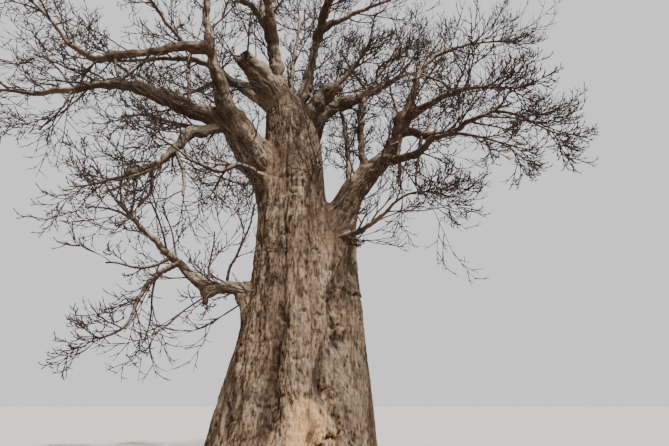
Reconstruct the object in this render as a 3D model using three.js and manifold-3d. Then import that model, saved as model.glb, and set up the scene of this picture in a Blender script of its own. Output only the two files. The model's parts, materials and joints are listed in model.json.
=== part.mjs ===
// A leafless baobab: a thick trunk with fused ribs, tapering boughs, and a bare crown of twigs.
// Millimetres. +Z is up, +X is the right side, +Y is the back. The origin is in the flat cut
// under the trunk.
import * as THREE from 'three';
import { mergeVertices } from 'three/addons/utils/BufferGeometryUtils.js';
import Module from 'manifold-3d';

const wasm = await Module();
wasm.setup();

// Clear space between two pieces that meet, and between a twig and any limb that it passes.
const gap = 0.4;
const twigClearance = 40;

// The trunk's main stem: height, radius, and how far its middle leans to the right.
const stemRows = [
  { height: 0, radius: 2000, lean: 0 },
  { height: 500, radius: 1770, lean: 50 },
  { height: 1700, radius: 1530, lean: 70 },
  { height: 2900, radius: 1330, lean: 80 },
  { height: 4200, radius: 1130, lean: 80 },
  { height: 5600, radius: 980, lean: 50 },
  { height: 7000, radius: 910, lean: 0 },
  { height: 8500, radius: 800, lean: -80 },
  { height: 9500, radius: 670, lean: -250 },
  { height: 10100, radius: 520, lean: -400 },
  { height: 10450, radius: 300, lean: -460 },
];
const trunkHeight = stemRows[stemRows.length - 1].height;
const trunkRings = 20;
const trunkSides = 36;
// The rings follow a sine raised to this power, so that they lie closer together at the fork.
const ringPower = 0.9;

// Ribs and grooves that run up the trunk: where each faces in degrees from the right side,
// its width in degrees, how far it stands out at the ground and at its strongest height,
// and the height where it has died away.
const ribs = [
  { facing: 351, width: 24, foot: 300, peak: 4900, bulge: 620, top: 6900 },
  { facing: 200, width: 21, foot: 300, peak: 900, bulge: 250, top: 4300 },
  { facing: 236, width: 13, foot: 230, peak: 600, bulge: 150, top: 3400 },
  { facing: 312, width: 14, foot: 260, peak: 700, bulge: 170, top: 3000 },
  { facing: 30, width: 20, foot: 320, peak: 900, bulge: 240, top: 4200 },
  { facing: 76, width: 17, foot: 260, peak: 1500, bulge: 180, top: 5600 },
  { facing: 122, width: 22, foot: 330, peak: 1000, bulge: 250, top: 4600 },
  { facing: 162, width: 15, foot: 240, peak: 700, bulge: 160, top: 3600 },
  { facing: 208, width: 24, foot: 0, peak: 7100, bulge: 150, top: 8500 },
  { facing: 322, width: 8, foot: -60, peak: 4800, bulge: -120, top: 6600 },
  { facing: 256, width: 8, foot: -50, peak: 6200, bulge: -70, top: 9200 },
  { facing: 100, width: 8, foot: -60, peak: 3800, bulge: -90, top: 7200 },
];

// Every limb: where it springs from, then the heading and the climb of its middle line in
// degrees (0 heads right, 90 back, 180 left, 270 front; 90 climbs straight up), its length,
// and its radius, each told at even steps from its root to its tip. A limb of the trunk
// starts on the trunk's middle line at a height, any other at a share of its parent's length.
const limbSteps = 5;
const limbSides = 6;
const limbPlan = [
  { name: 'bough_left_main', from: 'trunk', rise: 6600, length: 3250,
    heading: [182, 206, 220, 230], climb: [52, 50, 47, 43], girth: [600, 560, 500, 330] },
  { name: 'bough_left_long', from: 'bough_left_main', share: 0.93, length: 5300,
    heading: [194, 195, 190, 184, 179, 174], climb: [2, 14, 29, -1, -21, 10],
    girth: [290, 235, 190, 135, 95, 60] },
  { name: 'bough_left_fork', from: 'bough_left_main', share: 0.9, length: 3300,
    heading: [205, 207, 226, 212, 196], climb: [-32, -20, -62, -50, -24],
    girth: [170, 150, 120, 85, 50] },
  { name: 'bough_left_upright', from: 'bough_left_main', share: 0.88, length: 3950,
    heading: [245, 258, 236, 160, 130], climb: [25, 42, 68, 82, 86],
    girth: [290, 200, 140, 105, 80] },
  { name: 'bough_left_upper', from: 'bough_left_upright', share: 0.54, length: 3600,
    heading: [193, 189, 187, 182, 180], climb: [4, -20, -14, -8, 60],
    girth: [125, 105, 100, 95, 60] },
  { name: 'bough_low_left', from: 'trunk', rise: 4200, length: 2300,
    heading: [202, 202, 208, 211], climb: [10, 6, 0, -30], girth: [220, 175, 150, 130] },
  { name: 'bough_low_left_outer', from: 'bough_low_left', share: 0.95, length: 3050,
    heading: [206, 198, 198, 194], climb: [32, 40, 42, 46], girth: [130, 100, 65, 42] },
  { name: 'bough_low_left_hanging', from: 'bough_low_left_outer', share: 0.33, length: 1600,
    heading: [194, 206, 238], climb: [-24, -58, -80], girth: [80, 60, 38] },
  { name: 'bough_top_left', from: 'trunk', rise: 10000, length: 3900,
    heading: [186, 250, 246, 212, 204], climb: [68, 74, 60, 36, 10],
    girth: [260, 235, 185, 120, 75] },
  { name: 'bough_top_left_inner', from: 'bough_top_left', share: 0.55, length: 1900,
    heading: [150, 138], climb: [70, 80], girth: [130, 105, 80] },
  { name: 'bough_broken_stub', from: 'trunk', rise: 9600, length: 2300,
    heading: [217, 230, 228], climb: [50, 32, 16], girth: [400, 370, 310, 220] },
  { name: 'bough_back_left', from: 'trunk', rise: 9900, length: 5200,
    heading: [158, 142, 142, 140, 139], climb: [48, 40, 34, 22, 3],
    girth: [210, 165, 135, 105, 75] },
  { name: 'bough_back_left_low', from: 'trunk', rise: 9700, length: 4600,
    heading: [184, 189, 190, 191, 188], climb: [25, 32, 38, 0, -17],
    girth: [160, 130, 105, 80, 50] },
  { name: 'bough_top_right', from: 'trunk', rise: 9500, length: 5850,
    heading: [5, 36, 48, 50, 43, 45], climb: [56, 78, 78, 77, 71, 72],
    girth: [220, 170, 145, 130, 95, 70] },
  { name: 'bough_top_right_side', from: 'bough_top_right', share: 0.69, length: 2450,
    heading: [0, 0], climb: [34, 24], girth: [105, 75, 50] },
  { name: 'bough_middle_riser', from: 'trunk', rise: 9900, length: 3150,
    heading: [50, 100, 80, 72], climb: [62, 74, 76, 76], girth: [120, 85, 75, 65] },
  { name: 'bough_right_stub', from: 'trunk', rise: 8900, length: 2150,
    heading: [-20, -2, 0], climb: [60, 54, 44], girth: [320, 260, 200] },
  { name: 'bough_right_main', from: 'trunk', rise: 4600, length: 5600,
    heading: [355, 355, 345, 350, 350, 344, 322], climb: [42, 52, 72, 57, 42, 55, 80],
    girth: [400, 430, 430, 350, 290, 200, 155] },
  { name: 'bough_right_rising', from: 'bough_right_main', share: 0.98, length: 4900,
    heading: [14, 50, 38, 21, 19], climb: [62, 71, 57, 38, 26],
    girth: [130, 110, 88, 72, 50] },
  { name: 'bough_right_middle', from: 'bough_right_main', share: 0.98, length: 2100,
    heading: [313, 304, 298], climb: [8, -6, -20], girth: [115, 88, 60] },
  { name: 'bough_right_drooping', from: 'bough_right_main', share: 0.93, length: 2600,
    heading: [341, 328, 325, 332], climb: [-26, -26, 16, 7], girth: [125, 100, 80, 52] },
  { name: 'bough_right_low', from: 'bough_right_main', share: 0.72, length: 2500,
    heading: [314, 312, 308, 314], climb: [-4, -16, 20, -25], girth: [150, 120, 90, 48] },
  { name: 'bough_inner_riser', from: 'bough_right_main', share: 0.63, length: 5900,
    heading: [93, 93, 80, 55, 38], climb: [57, 64, 67, 63, 55],
    girth: [125, 110, 100, 88, 68] },
  { name: 'bough_back_riser', from: 'bough_right_main', share: 0.5, length: 5600,
    heading: [90, 93, 100, 95], climb: [64, 63, 63, 66], girth: [105, 80, 65, 50] },
  { name: 'bough_front_stub', from: 'trunk', rise: 6400, length: 1800,
    heading: [310, 304], climb: [42, 60], girth: [170, 135, 105] },
  { name: 'bough_small_right', from: 'trunk', rise: 5500, length: 2900,
    heading: [342, 335, 330, 326], climb: [8, 6, 16, 42], girth: [110, 85, 70, 40] },
  { name: 'bough_small_left', from: 'trunk', rise: 6750, length: 3200,
    heading: [216, 232, 218, 208, 218], climb: [20, 26, 14, -40, 40],
    girth: [110, 90, 75, 55, 38] },
  { name: 'bough_back_main', from: 'trunk', rise: 8200, length: 6200,
    heading: [80, 90, 94], climb: [44, 40, 50], girth: [430, 330, 230, 140] },
  { name: 'bough_back_right', from: 'trunk', rise: 9100, length: 5600,
    heading: [40, 34, 44], climb: [48, 36, 44], girth: [340, 250, 170, 100] },
  { name: 'bough_back_low', from: 'trunk', rise: 7200, length: 5400,
    heading: [108, 120, 132], climb: [38, 24, 34], girth: [340, 250, 160, 90] },
  { name: 'bough_front_left', from: 'bough_top_left', share: 0.52, length: 4600,
    heading: [268, 262, 250], climb: [50, 42, 36], girth: [150, 115, 70] },
  { name: 'bough_front_right', from: 'bough_top_right', share: 0.6, length: 4400,
    heading: [292, 300, 308], climb: [46, 40, 34], girth: [125, 100, 65] },
];

// Every mass of twigs: the limb whose tip carries it, then its own stem, told as a limb is,
// and how many sprays the stem bears where that isn't the rule's own count.
const massPlan = [
  { name: 'twigs_left_long', limb: 'bough_left_long', length: 2900,
    heading: [174, 170, 182], climb: [16, 6, 22], seed: 11 },
  { name: 'twigs_left_fork', limb: 'bough_left_fork', length: 1200,
    heading: [196, 200, 190], climb: [-24, -26, -4], sprays: 4, seed: 12 },
  { name: 'twigs_left_upright', limb: 'bough_left_upright', length: 2900,
    heading: [180, 226, 236], climb: [80, 62, 54], seed: 13 },
  { name: 'twigs_left_upper', limb: 'bough_left_upper', length: 3100,
    heading: [184, 190, 194], climb: [56, 40, 44], seed: 14 },
  { name: 'twigs_low_left', limb: 'bough_low_left_outer', length: 1500,
    heading: [194, 190, 176], climb: [50, 60, 52], sprays: 4, seed: 15 },
  { name: 'twigs_low_left_hanging', limb: 'bough_low_left_hanging', length: 1200,
    heading: [224, 196, 186], climb: [-66, -20, 10], sprays: 4, seed: 16 },
  { name: 'twigs_top_left', limb: 'bough_top_left', length: 3000,
    heading: [204, 196, 190], climb: [16, 32, 46], seed: 17 },
  { name: 'twigs_top_left_inner', limb: 'bough_top_left_inner', length: 3300,
    heading: [138, 150, 170], climb: [80, 74, 62], seed: 18 },
  { name: 'twigs_back_left', limb: 'bough_back_left', length: 3200,
    heading: [139, 145, 150], climb: [8, 26, 40], seed: 19 },
  { name: 'twigs_back_left_low', limb: 'bough_back_left_low', length: 2900,
    heading: [186, 176, 168], climb: [-12, 10, 26], seed: 20 },
  { name: 'twigs_top_right', limb: 'bough_top_right', length: 3100,
    heading: [45, 60, 70], climb: [72, 68, 58], seed: 21 },
  { name: 'twigs_top_right_side', limb: 'bough_top_right_side', length: 3000,
    heading: [2, -8, -14], climb: [24, 36, 44], seed: 22 },
  { name: 'twigs_middle', limb: 'bough_middle_riser', length: 3200,
    heading: [72, 100, 110], climb: [76, 66, 56], seed: 23 },
  { name: 'twigs_right_stub', limb: 'bough_right_stub', length: 1800,
    heading: [0, -15, -30], climb: [46, 56, 60], sprays: 4, seed: 24 },
  { name: 'twigs_right_rising', limb: 'bough_right_rising', length: 2200,
    heading: [19, 14, 10], climb: [24, 14, 6], sprays: 5, seed: 25 },
  { name: 'twigs_right_middle', limb: 'bough_right_middle', length: 1500,
    heading: [304, 336, 348], climb: [-20, -18, -10], sprays: 5, seed: 26 },
  { name: 'twigs_right_drooping', limb: 'bough_right_drooping', length: 1900,
    heading: [334, 344, 352], climb: [-14, -44, -26], sprays: 5, seed: 27 },
  { name: 'twigs_right_low', limb: 'bough_right_low', length: 1800,
    heading: [322, 346, 352], climb: [-26, -26, -22], sprays: 5, seed: 28 },
  { name: 'twigs_inner_riser', limb: 'bough_inner_riser', length: 3200,
    heading: [36, 32, 36], climb: [52, 50, 62], seed: 29 },
  { name: 'twigs_back_riser', limb: 'bough_back_riser', length: 3000,
    heading: [92, 78, 72], climb: [67, 68, 60], seed: 30 },
  { name: 'twigs_small_right', limb: 'bough_small_right', length: 1600,
    heading: [328, 342, 350], climb: [34, -10, -28], sprays: 4, seed: 31 },
  { name: 'twigs_small_left', limb: 'bough_small_left', length: 1500,
    heading: [216, 206, 200], climb: [34, 20, 34], sprays: 4, seed: 32 },
  { name: 'twigs_back_main', limb: 'bough_back_main', length: 3300,
    heading: [94, 90, 86], climb: [48, 42, 46], sprays: 5, seed: 33 },
  { name: 'twigs_back_right', limb: 'bough_back_right', length: 3400,
    heading: [44, 50, 46], climb: [44, 36, 40], seed: 34 },
  { name: 'twigs_back_low', limb: 'bough_back_low', length: 3400,
    heading: [132, 126, 120], climb: [34, 22, 28], sprays: 5, seed: 35 },
  { name: 'twigs_front_left', limb: 'bough_front_left', length: 2900,
    heading: [250, 244, 250], climb: [36, 28, 34], sprays: 5, seed: 36 },
  { name: 'twigs_front_right', limb: 'bough_front_right', length: 3000,
    heading: [308, 314, 320], climb: [34, 24, 28], seed: 37 },
];

// The branching rule of a mass, order by order: how many side twigs the twig before carries,
// where they start and end along it, how far each turns away from it in degrees, its length
// and radius as shares of the twig that bears it, its bends, its waviness and its upward turn.
const twigRule = [
  { steps: 5, tip: 0.3 },
  { count: 6, first: 0.14, last: 0.97, turn: 52, length: 0.56, girth: 0.62, steps: 2,
    wave: 0.34, lift: 0.12 },
  { count: 3, first: 0.3, last: 0.9, turn: 46, length: 0.5, girth: 0.66, steps: 1,
    wave: 0.4, lift: 0.14 },
];
const goldenTurn = 137.5;
// How twigs of one order differ: the scatter of their place, of their turn round the bearer and
// away from it in degrees, and of their length; then how long they are at its root, and how
// much shorter and thinner towards its tip.
const scatter = { place: 0.6, round: 60, turn: 24, length: 0.4 };
const rootLength = 1.25;
const shortening = 0.6;
const thinning = 0.6;
const twigSides = 3;
const stemCollar = 120;
const stemThickest = 90;
const sampleStep = 110;

const degree = Math.PI / 180;
const up = new THREE.Vector3(0, 0, 1);

// The value at a share of a list of values told at even steps.
function along(list, share) {
  const place = Math.min(Math.max(share, 0), 1) * (list.length - 1);
  const index = Math.min(Math.floor(place), list.length - 2);
  return THREE.MathUtils.lerp(list[index], list[index + 1], place - index);
}

function wayOf(heading, climb) {
  const flat = Math.cos(climb * degree);
  return new THREE.Vector3(
    flat * Math.cos(heading * degree),
    flat * Math.sin(heading * degree),
    Math.sin(climb * degree),
  );
}

// The middle line of a limb or stem, walked step by step from its root.
function middleLine(start, plan, steps) {
  const points = [start.clone()];
  for (let index = 0; index < steps; index += 1) {
    const share = (index + 0.5) / steps;
    const way = wayOf(along(plan.heading, share), along(plan.climb, share));
    points.push(points[index].clone().addScaledVector(way, plan.length / steps));
  }
  return points;
}

// The point and the way ahead at a share of a middle line's length.
function placeOn(points, share) {
  const place = share * (points.length - 1);
  const index = Math.min(Math.floor(place), points.length - 2);
  const point = points[index].clone().lerp(points[index + 1], place - index);
  const way = points[index + 1].clone().sub(points[index]).normalize();
  return { point, way };
}

// Two directions square to a way, to turn a ring or a side twig round it.
const nearlyUpright = 0.95;
function squareTo(way) {
  const guide = Math.abs(way.z) > nearlyUpright ? new THREE.Vector3(1, 0, 0) : up;
  const side = way.clone().cross(guide).normalize();
  return { side, lift: side.clone().cross(way) };
}

// A closed tube along a middle line; its ring at a pointed tip shrinks to one point.
function tube(points, radii, sides, pointed) {
  const corners = [];
  const faces = [];
  const last = points.length - 1;
  const ringCount = pointed ? last : last + 1;
  let { side } = squareTo(points[1].clone().sub(points[0]).normalize());
  for (let ring = 0; ring < ringCount; ring += 1) {
    const before = points[Math.max(ring - 1, 0)];
    const after = points[Math.min(ring + 1, last)];
    const way = after.clone().sub(before).normalize();
    side = side.clone().addScaledVector(way, -side.dot(way)).normalize();
    const lift = side.clone().cross(way);
    for (let turn = 0; turn < sides; turn += 1) {
      const angle = (turn / sides) * 360 * degree;
      corners.push(points[ring].clone()
        .addScaledVector(side, radii[ring] * Math.cos(angle))
        .addScaledVector(lift, -radii[ring] * Math.sin(angle)));
    }
  }
  for (let ring = 0; ring < ringCount - 1; ring += 1) {
    for (let turn = 0; turn < sides; turn += 1) {
      const next = (turn + 1) % sides;
      const low = ring * sides;
      const high = low + sides;
      faces.push(low + turn, low + next, high + next);
      faces.push(low + turn, high + next, high + turn);
    }
  }
  const top = (ringCount - 1) * sides;
  for (let turn = 1; turn < sides - 1; turn += 1) {
    faces.push(0, turn + 1, turn);
    if (!pointed) faces.push(top, top + turn, top + turn + 1);
  }
  if (pointed) {
    corners.push(points[last]);
    for (let turn = 0; turn < sides; turn += 1) {
      faces.push(top + turn, top + ((turn + 1) % sides), corners.length - 1);
    }
  }
  return closedMesh(corners, faces);
}

function closedMesh(corners, faces) {
  const geometry = new THREE.BufferGeometry().setFromPoints(corners);
  geometry.setIndex(faces);
  return mergeVertices(geometry);
}

function toSolid(geometry) {
  const vertProperties = new Float32Array(geometry.attributes.position.array);
  const triVerts = new Uint32Array(geometry.index.array);
  return new wasm.Manifold(new wasm.Mesh({ numProp: 3, vertProperties, triVerts }));
}

// The largest single body of a solid, without the scraps that a cut has left.
function largestBody(solid) {
  const mesh = solid.getMesh();
  const root = Array.from({ length: mesh.vertProperties.length / 3 }, (_, index) => index);
  const find = (vertex) => {
    let top = vertex;
    while (root[top] !== top) top = root[top];
    root[vertex] = top;
    return top;
  };
  for (let face = 0; face < mesh.triVerts.length; face += 3) {
    root[find(mesh.triVerts[face + 1])] = find(mesh.triVerts[face]);
    root[find(mesh.triVerts[face + 2])] = find(mesh.triVerts[face]);
  }
  const corner = (vertex) => new THREE.Vector3().fromArray(mesh.vertProperties, vertex * 3);
  const volumes = new Map();
  for (let face = 0; face < mesh.triVerts.length; face += 3) {
    const [a, b, c] = [0, 1, 2].map((side) => corner(mesh.triVerts[face + side]));
    const body = find(mesh.triVerts[face]);
    volumes.set(body, (volumes.get(body) ?? 0) + a.dot(b.cross(c)));
  }
  const [largest] = [...volumes].sort((one, other) => other[1] - one[1])[0];
  const kept = [];
  for (let face = 0; face < mesh.triVerts.length; face += 3) {
    if (find(mesh.triVerts[face]) === largest) kept.push(...mesh.triVerts.slice(face, face + 3));
  }
  const used = [...new Set(kept)];
  const place = new Map(used.map((vertex, index) => [vertex, index]));
  return closedMesh(used.map(corner), kept.map((vertex) => place.get(vertex)));
}

// The main stem's radius and lean at a height, on a smooth curve through its rows. Halving the
// curve this often finds the height to a thousandth of a millimetre.
const halvings = 24;
const stemCurve = new THREE.CatmullRomCurve3(
  stemRows.map((row) => new THREE.Vector3(row.radius, row.lean, row.height)),
);
function stemAt(height) {
  let low = 0;
  let high = 1;
  for (let halving = 0; halving < halvings; halving += 1) {
    const middle = (low + high) / 2;
    if (stemCurve.getPoint(middle).z < height) low = middle;
    else high = middle;
  }
  const point = stemCurve.getPoint(low);
  return { radius: point.x, lean: point.y };
}

// The angle between two facings, the short way round.
function degreesApart(facing, other) {
  return Math.abs(((facing - other + 360 + 180) % 360) - 180);
}

// How far a rib stands out at a height and a facing.
function ribBulge(rib, facing, height) {
  const away = degreesApart(facing, rib.facing) / rib.width;
  const rising = Math.min(height / rib.peak, 1);
  const dying = THREE.MathUtils.smoothstep(height, rib.peak, rib.top);
  const strength = THREE.MathUtils.lerp(rib.foot, rib.bulge, rising) * (1 - dying);
  return strength * Math.exp(-away * away);
}

function trunkRadius(facing, height) {
  const bulges = ribs.map((rib) => ribBulge(rib, facing, height));
  return bulges.reduce((sum, bulge) => sum + bulge, stemAt(height).radius);
}

const trunkMiddle = (height) => new THREE.Vector3(stemAt(height).lean, 0, height);

function trunkGeometry(grow) {
  const corners = [];
  const faces = [];
  for (let ring = 0; ring <= trunkRings; ring += 1) {
    const share = ring / trunkRings;
    const height = trunkHeight * Math.sin(share * 90 * degree) ** ringPower;
    const shift = ring === trunkRings ? grow : 0;
    for (let turn = 0; turn < trunkSides; turn += 1) {
      const facing = (turn / trunkSides) * 360;
      const reach = trunkRadius(facing, height) + grow;
      corners.push(trunkMiddle(height).addScaledVector(wayOf(facing, 0), reach)
        .addScaledVector(up, shift));
    }
  }
  for (let ring = 0; ring < trunkRings; ring += 1) {
    for (let turn = 0; turn < trunkSides; turn += 1) {
      const next = (turn + 1) % trunkSides;
      const low = ring * trunkSides;
      const high = low + trunkSides;
      faces.push(low + turn, low + next, high + next);
      faces.push(low + turn, high + next, high + turn);
    }
  }
  const top = trunkRings * trunkSides;
  const foot = corners.push(trunkMiddle(0)) - 1;
  const crown = corners.push(trunkMiddle(trunkHeight).addScaledVector(up, grow)) - 1;
  for (let turn = 0; turn < trunkSides; turn += 1) {
    const next = (turn + 1) % trunkSides;
    faces.push(foot, next, turn, crown, top + turn, top + next);
  }
  return closedMesh(corners, faces);
}

// A limb's solid, with a margin all round it when it is used to cut its neighbours.
function limbGeometry(limb, grow) {
  const points = limb.points.map((point) => point.clone());
  const last = points.length - 1;
  points[0].addScaledVector(placeOn(limb.points, 0).way, -grow);
  points[last].addScaledVector(placeOn(limb.points, 1).way, grow);
  const radii = points.map((_, index) => along(limb.girth, index / last) + grow);
  return tube(points, radii, limbSides, false);
}

const boxesMeet = (one, other) => one.clone().expandByScalar(gap * 2).intersectsBox(other);

const limbs = new Map();
for (const plan of limbPlan) {
  const parent = limbs.get(plan.from);
  const start = parent ? placeOn(parent.points, plan.share).point : trunkMiddle(plan.rise);
  const limb = { ...plan, points: middleLine(start, plan, limbSteps) };
  limb.box = new THREE.Box3().setFromPoints(limb.points).expandByScalar(Math.max(...plan.girth));
  limbs.set(plan.name, limb);
}

// Each limb is cut back from the trunk and from the limbs told before it.
function cutLimbs() {
  const trunkCutter = toSolid(trunkGeometry(gap));
  const done = [];
  for (const limb of limbs.values()) {
    let solid = toSolid(limbGeometry(limb, 0)).subtract(trunkCutter);
    for (const other of done) {
      if (!boxesMeet(limb.box, other.box)) continue;
      solid = solid.subtract(toSolid(limbGeometry(other, gap)));
    }
    limb.geometry = largestBody(solid);
    done.push(limb);
  }
}

// A seeded series of even draws between 0 and 1, and the seed of a twig's own side twigs. Each
// is worked out from the one before by a factor and a step, and kept below the span.
const drawSeries = { factor: 1664525, step: 1013904223, span: 2 ** 32 };
const seedSeries = { factor: 69069, step: 362437 };
function drawsFrom(seed) {
  let state = seed;
  return () => {
    state = (Math.imul(state, drawSeries.factor) + drawSeries.step) >>> 0;
    return state / drawSeries.span;
  };
}
function sideSeed(seed, index) {
  return (Math.imul(seed, seedSeries.factor) + (index + 1) * seedSeries.step) >>> 0;
}

const distanceToLine = (point, from, to) => {
  const line = to.clone().sub(from);
  const share = point.clone().sub(from).dot(line) / line.lengthSq();
  return point.distanceTo(from.clone().addScaledVector(line, Math.min(Math.max(share, 0), 1)));
};

const distanceToPath = (point, points) => {
  const spans = points.slice(1).map((next, index) => distanceToLine(point, points[index], next));
  return Math.min(...spans);
};

// A twig may be where its own stem is the nearest one and no limb or trunk is in the way.
function isClear(point, radius, stem) {
  const ownSpace = distanceToPath(point, stem.points) + 2 * twigClearance;
  for (const other of stems) {
    if (other !== stem && distanceToPath(point, other.points) < ownSpace) return false;
  }
  for (const limb of limbs.values()) {
    const room = limb.box.distanceToPoint(point);
    if (room > radius + twigClearance) continue;
    for (let span = 0; span < limbSteps; span += 1) {
      const far = distanceToLine(point, limb.points[span], limb.points[span + 1]);
      if (far < along(limb.girth, span / limbSteps) + radius + twigClearance) return false;
    }
  }
  if (point.z > trunkHeight + twigClearance) return true;
  const middle = trunkMiddle(Math.max(point.z, 0));
  const facing = Math.atan2(point.y - middle.y, point.x - middle.x) / degree;
  const reach = trunkRadius((facing + 360) % 360, point.z);
  return point.distanceTo(middle) > reach + radius + twigClearance;
}

// The middle line of a side twig: each step swerves a little and turns upward.
function twigLine(start, way, length, rule, draw) {
  const points = [start.clone()];
  const ahead = way.clone();
  for (let index = 0; index < rule.steps; index += 1) {
    ahead.x += (draw() - 0.5) * rule.wave;
    ahead.y += (draw() - 0.5) * rule.wave;
    ahead.z += (draw() - 0.5) * rule.wave + rule.lift;
    ahead.normalize();
    points.push(points[index].clone().addScaledVector(ahead, length / rule.steps));
  }
  return points;
}

function lineIsClear(points, radius, stem) {
  for (let index = 1; index < points.length; index += 1) {
    const span = points[index - 1].distanceTo(points[index]);
    const samples = Math.ceil(span / sampleStep);
    for (let sample = 1; sample <= samples; sample += 1) {
      const point = points[index - 1].clone().lerp(points[index], sample / samples);
      if (!isClear(point, radius, stem)) return false;
    }
  }
  return true;
}

// The side twigs of one twig, each followed by its own, down to the rule's last order.
function sideTwigs(bearer, order, stem) {
  if (order === twigRule.length) return [];
  const rule = twigRule[order];
  const count = bearer.sprays ?? rule.count;
  const twigs = [];
  for (let index = 0; index < count; index += 1) {
    const seed = sideSeed(bearer.seed, index);
    const draw = drawsFrom(seed);
    const step = index + scatter.place * draw();
    const share = rule.first + ((rule.last - rule.first) * step) / count;
    const { point, way } = placeOn(bearer.points, share);
    const { side, lift } = squareTo(way);
    const round = (index * goldenTurn + scatter.round * draw()) * degree;
    const turn = (rule.turn + scatter.turn * (draw() - 0.5)) * degree;
    const outward = side.multiplyScalar(Math.cos(round)).addScaledVector(lift, Math.sin(round));
    const ahead = way.clone().multiplyScalar(Math.cos(turn))
      .addScaledVector(outward, Math.sin(turn));
    const uneven = 1 - scatter.length / 2 + scatter.length * draw();
    const length = bearer.length * rule.length * (rootLength - shortening * share) * uneven;
    const radius = bearer.radius * rule.girth * (1 - thinning * share);
    const points = twigLine(point, ahead, length, rule, draw);
    if (!lineIsClear(points, radius, stem)) continue;
    const twig = { points, length, radius, seed };
    twigs.push(twig, ...sideTwigs(twig, order + 1, stem));
  }
  return twigs;
}

// Each stem starts just clear of its limb's tip and goes straight on from it before it bends.
const stems = massPlan.map((plan) => {
  const limb = limbs.get(plan.limb);
  const { point, way } = placeOn(limb.points, 1);
  const radius = Math.min(limb.girth[limb.girth.length - 1], stemThickest);
  const root = point.clone().addScaledVector(way, gap);
  const bend = root.clone().addScaledVector(way, stemCollar);
  const points = [root, ...middleLine(bend, plan, twigRule[0].steps)];
  return { ...plan, points, radius };
});

function massGeometry(stem) {
  const thin = (radius, points, tip) => points.map(
    (_, index) => radius * THREE.MathUtils.lerp(1, tip, index / (points.length - 1)),
  );
  const { tip } = twigRule[0];
  let solid = toSolid(tube(stem.points, thin(stem.radius, stem.points, tip), twigSides, true));
  for (const twig of sideTwigs(stem, 1, stem)) {
    const radii = thin(twig.radius, twig.points, tip);
    solid = solid.add(toSolid(tube(twig.points, radii, twigSides, true)));
  }
  return largestBody(solid);
}

const barkColour = '#94816d';
const boughColour = '#7d6b5a';
const twigColour = '#5f514c';

const tree = new THREE.Group();
tree.name = 'baobab';

function addPiece(name, geometry, color) {
  const material = new THREE.MeshStandardMaterial({ color, roughness: 0.9, metalness: 0 });
  const mesh = new THREE.Mesh(geometry, material);
  mesh.name = name;
  tree.add(mesh);
}

addPiece('trunk', trunkGeometry(0), barkColour);
cutLimbs();
for (const limb of limbs.values()) addPiece(limb.name, limb.geometry, boughColour);
for (const stem of stems) addPiece(stem.name, massGeometry(stem), twigColour);

export default tree;
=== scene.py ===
import json
import math

import bmesh
import bpy
import numpy as np
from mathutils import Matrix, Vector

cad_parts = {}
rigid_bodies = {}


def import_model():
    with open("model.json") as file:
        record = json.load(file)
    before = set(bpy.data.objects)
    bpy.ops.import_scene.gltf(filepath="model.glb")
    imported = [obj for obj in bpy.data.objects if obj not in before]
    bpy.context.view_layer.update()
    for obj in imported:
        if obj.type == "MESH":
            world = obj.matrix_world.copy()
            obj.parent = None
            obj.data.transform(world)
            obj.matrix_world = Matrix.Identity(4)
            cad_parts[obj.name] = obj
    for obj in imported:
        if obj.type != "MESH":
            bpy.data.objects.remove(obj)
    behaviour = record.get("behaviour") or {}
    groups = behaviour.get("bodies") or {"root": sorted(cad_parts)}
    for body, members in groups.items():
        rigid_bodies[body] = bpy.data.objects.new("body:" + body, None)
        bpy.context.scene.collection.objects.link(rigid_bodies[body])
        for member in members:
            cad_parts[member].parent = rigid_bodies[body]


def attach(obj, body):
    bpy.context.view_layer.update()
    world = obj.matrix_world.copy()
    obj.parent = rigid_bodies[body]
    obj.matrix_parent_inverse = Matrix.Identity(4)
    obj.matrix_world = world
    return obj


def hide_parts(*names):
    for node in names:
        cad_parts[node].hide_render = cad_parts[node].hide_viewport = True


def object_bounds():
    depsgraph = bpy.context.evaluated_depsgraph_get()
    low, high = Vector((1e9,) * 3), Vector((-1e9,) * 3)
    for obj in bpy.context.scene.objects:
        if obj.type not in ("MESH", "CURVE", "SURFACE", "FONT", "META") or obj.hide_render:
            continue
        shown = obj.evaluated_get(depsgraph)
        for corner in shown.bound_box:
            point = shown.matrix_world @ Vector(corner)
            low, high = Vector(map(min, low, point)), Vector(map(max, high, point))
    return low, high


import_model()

# A leafless baobab in metres: z is up, x is the right side, y is the back.
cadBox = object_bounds()

# The plan of the tree

# Main stem of the trunk: height, radius, how far its middle leans to the right.
trunkShape = {
    "rows": [(0, 2.0, 0), (0.5, 1.77, 0.05), (1.7, 1.53, 0.07), (2.9, 1.33, 0.08),
             (4.2, 1.13, 0.08), (5.6, 0.98, 0.05), (7.0, 0.91, 0), (8.5, 0.8, -0.08),
             (9.5, 0.67, -0.25), (10.1, 0.52, -0.4), (10.45, 0.3, -0.46)],
    # Ribs and grooves: facing and width in degrees, foot, height of the peak, bulge, top.
    "ribs": [(351, 24, 0.3, 4.9, 0.62, 6.9), (200, 21, 0.3, 0.9, 0.25, 4.3),
             (236, 13, 0.23, 0.6, 0.15, 3.4), (312, 14, 0.26, 0.7, 0.17, 3.0),
             (30, 20, 0.32, 0.9, 0.24, 4.2), (76, 17, 0.26, 1.5, 0.18, 5.6),
             (122, 22, 0.33, 1.0, 0.25, 4.6), (162, 15, 0.24, 0.7, 0.16, 3.6),
             (208, 24, 0, 7.1, 0.15, 8.5), (322, 8, -0.06, 4.8, -0.12, 6.6),
             (256, 8, -0.05, 6.2, -0.07, 9.2), (100, 8, -0.06, 3.8, -0.09, 7.2)],
    "sides": 150,
    "rings": 160,
    "ringPower": 0.9,      # the rings lie closer together at the fork
    "belowGround": 0.3,    # how far the skin goes down before it is cut flat
}
trunkTop = trunkShape["rows"][-1][0]

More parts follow.
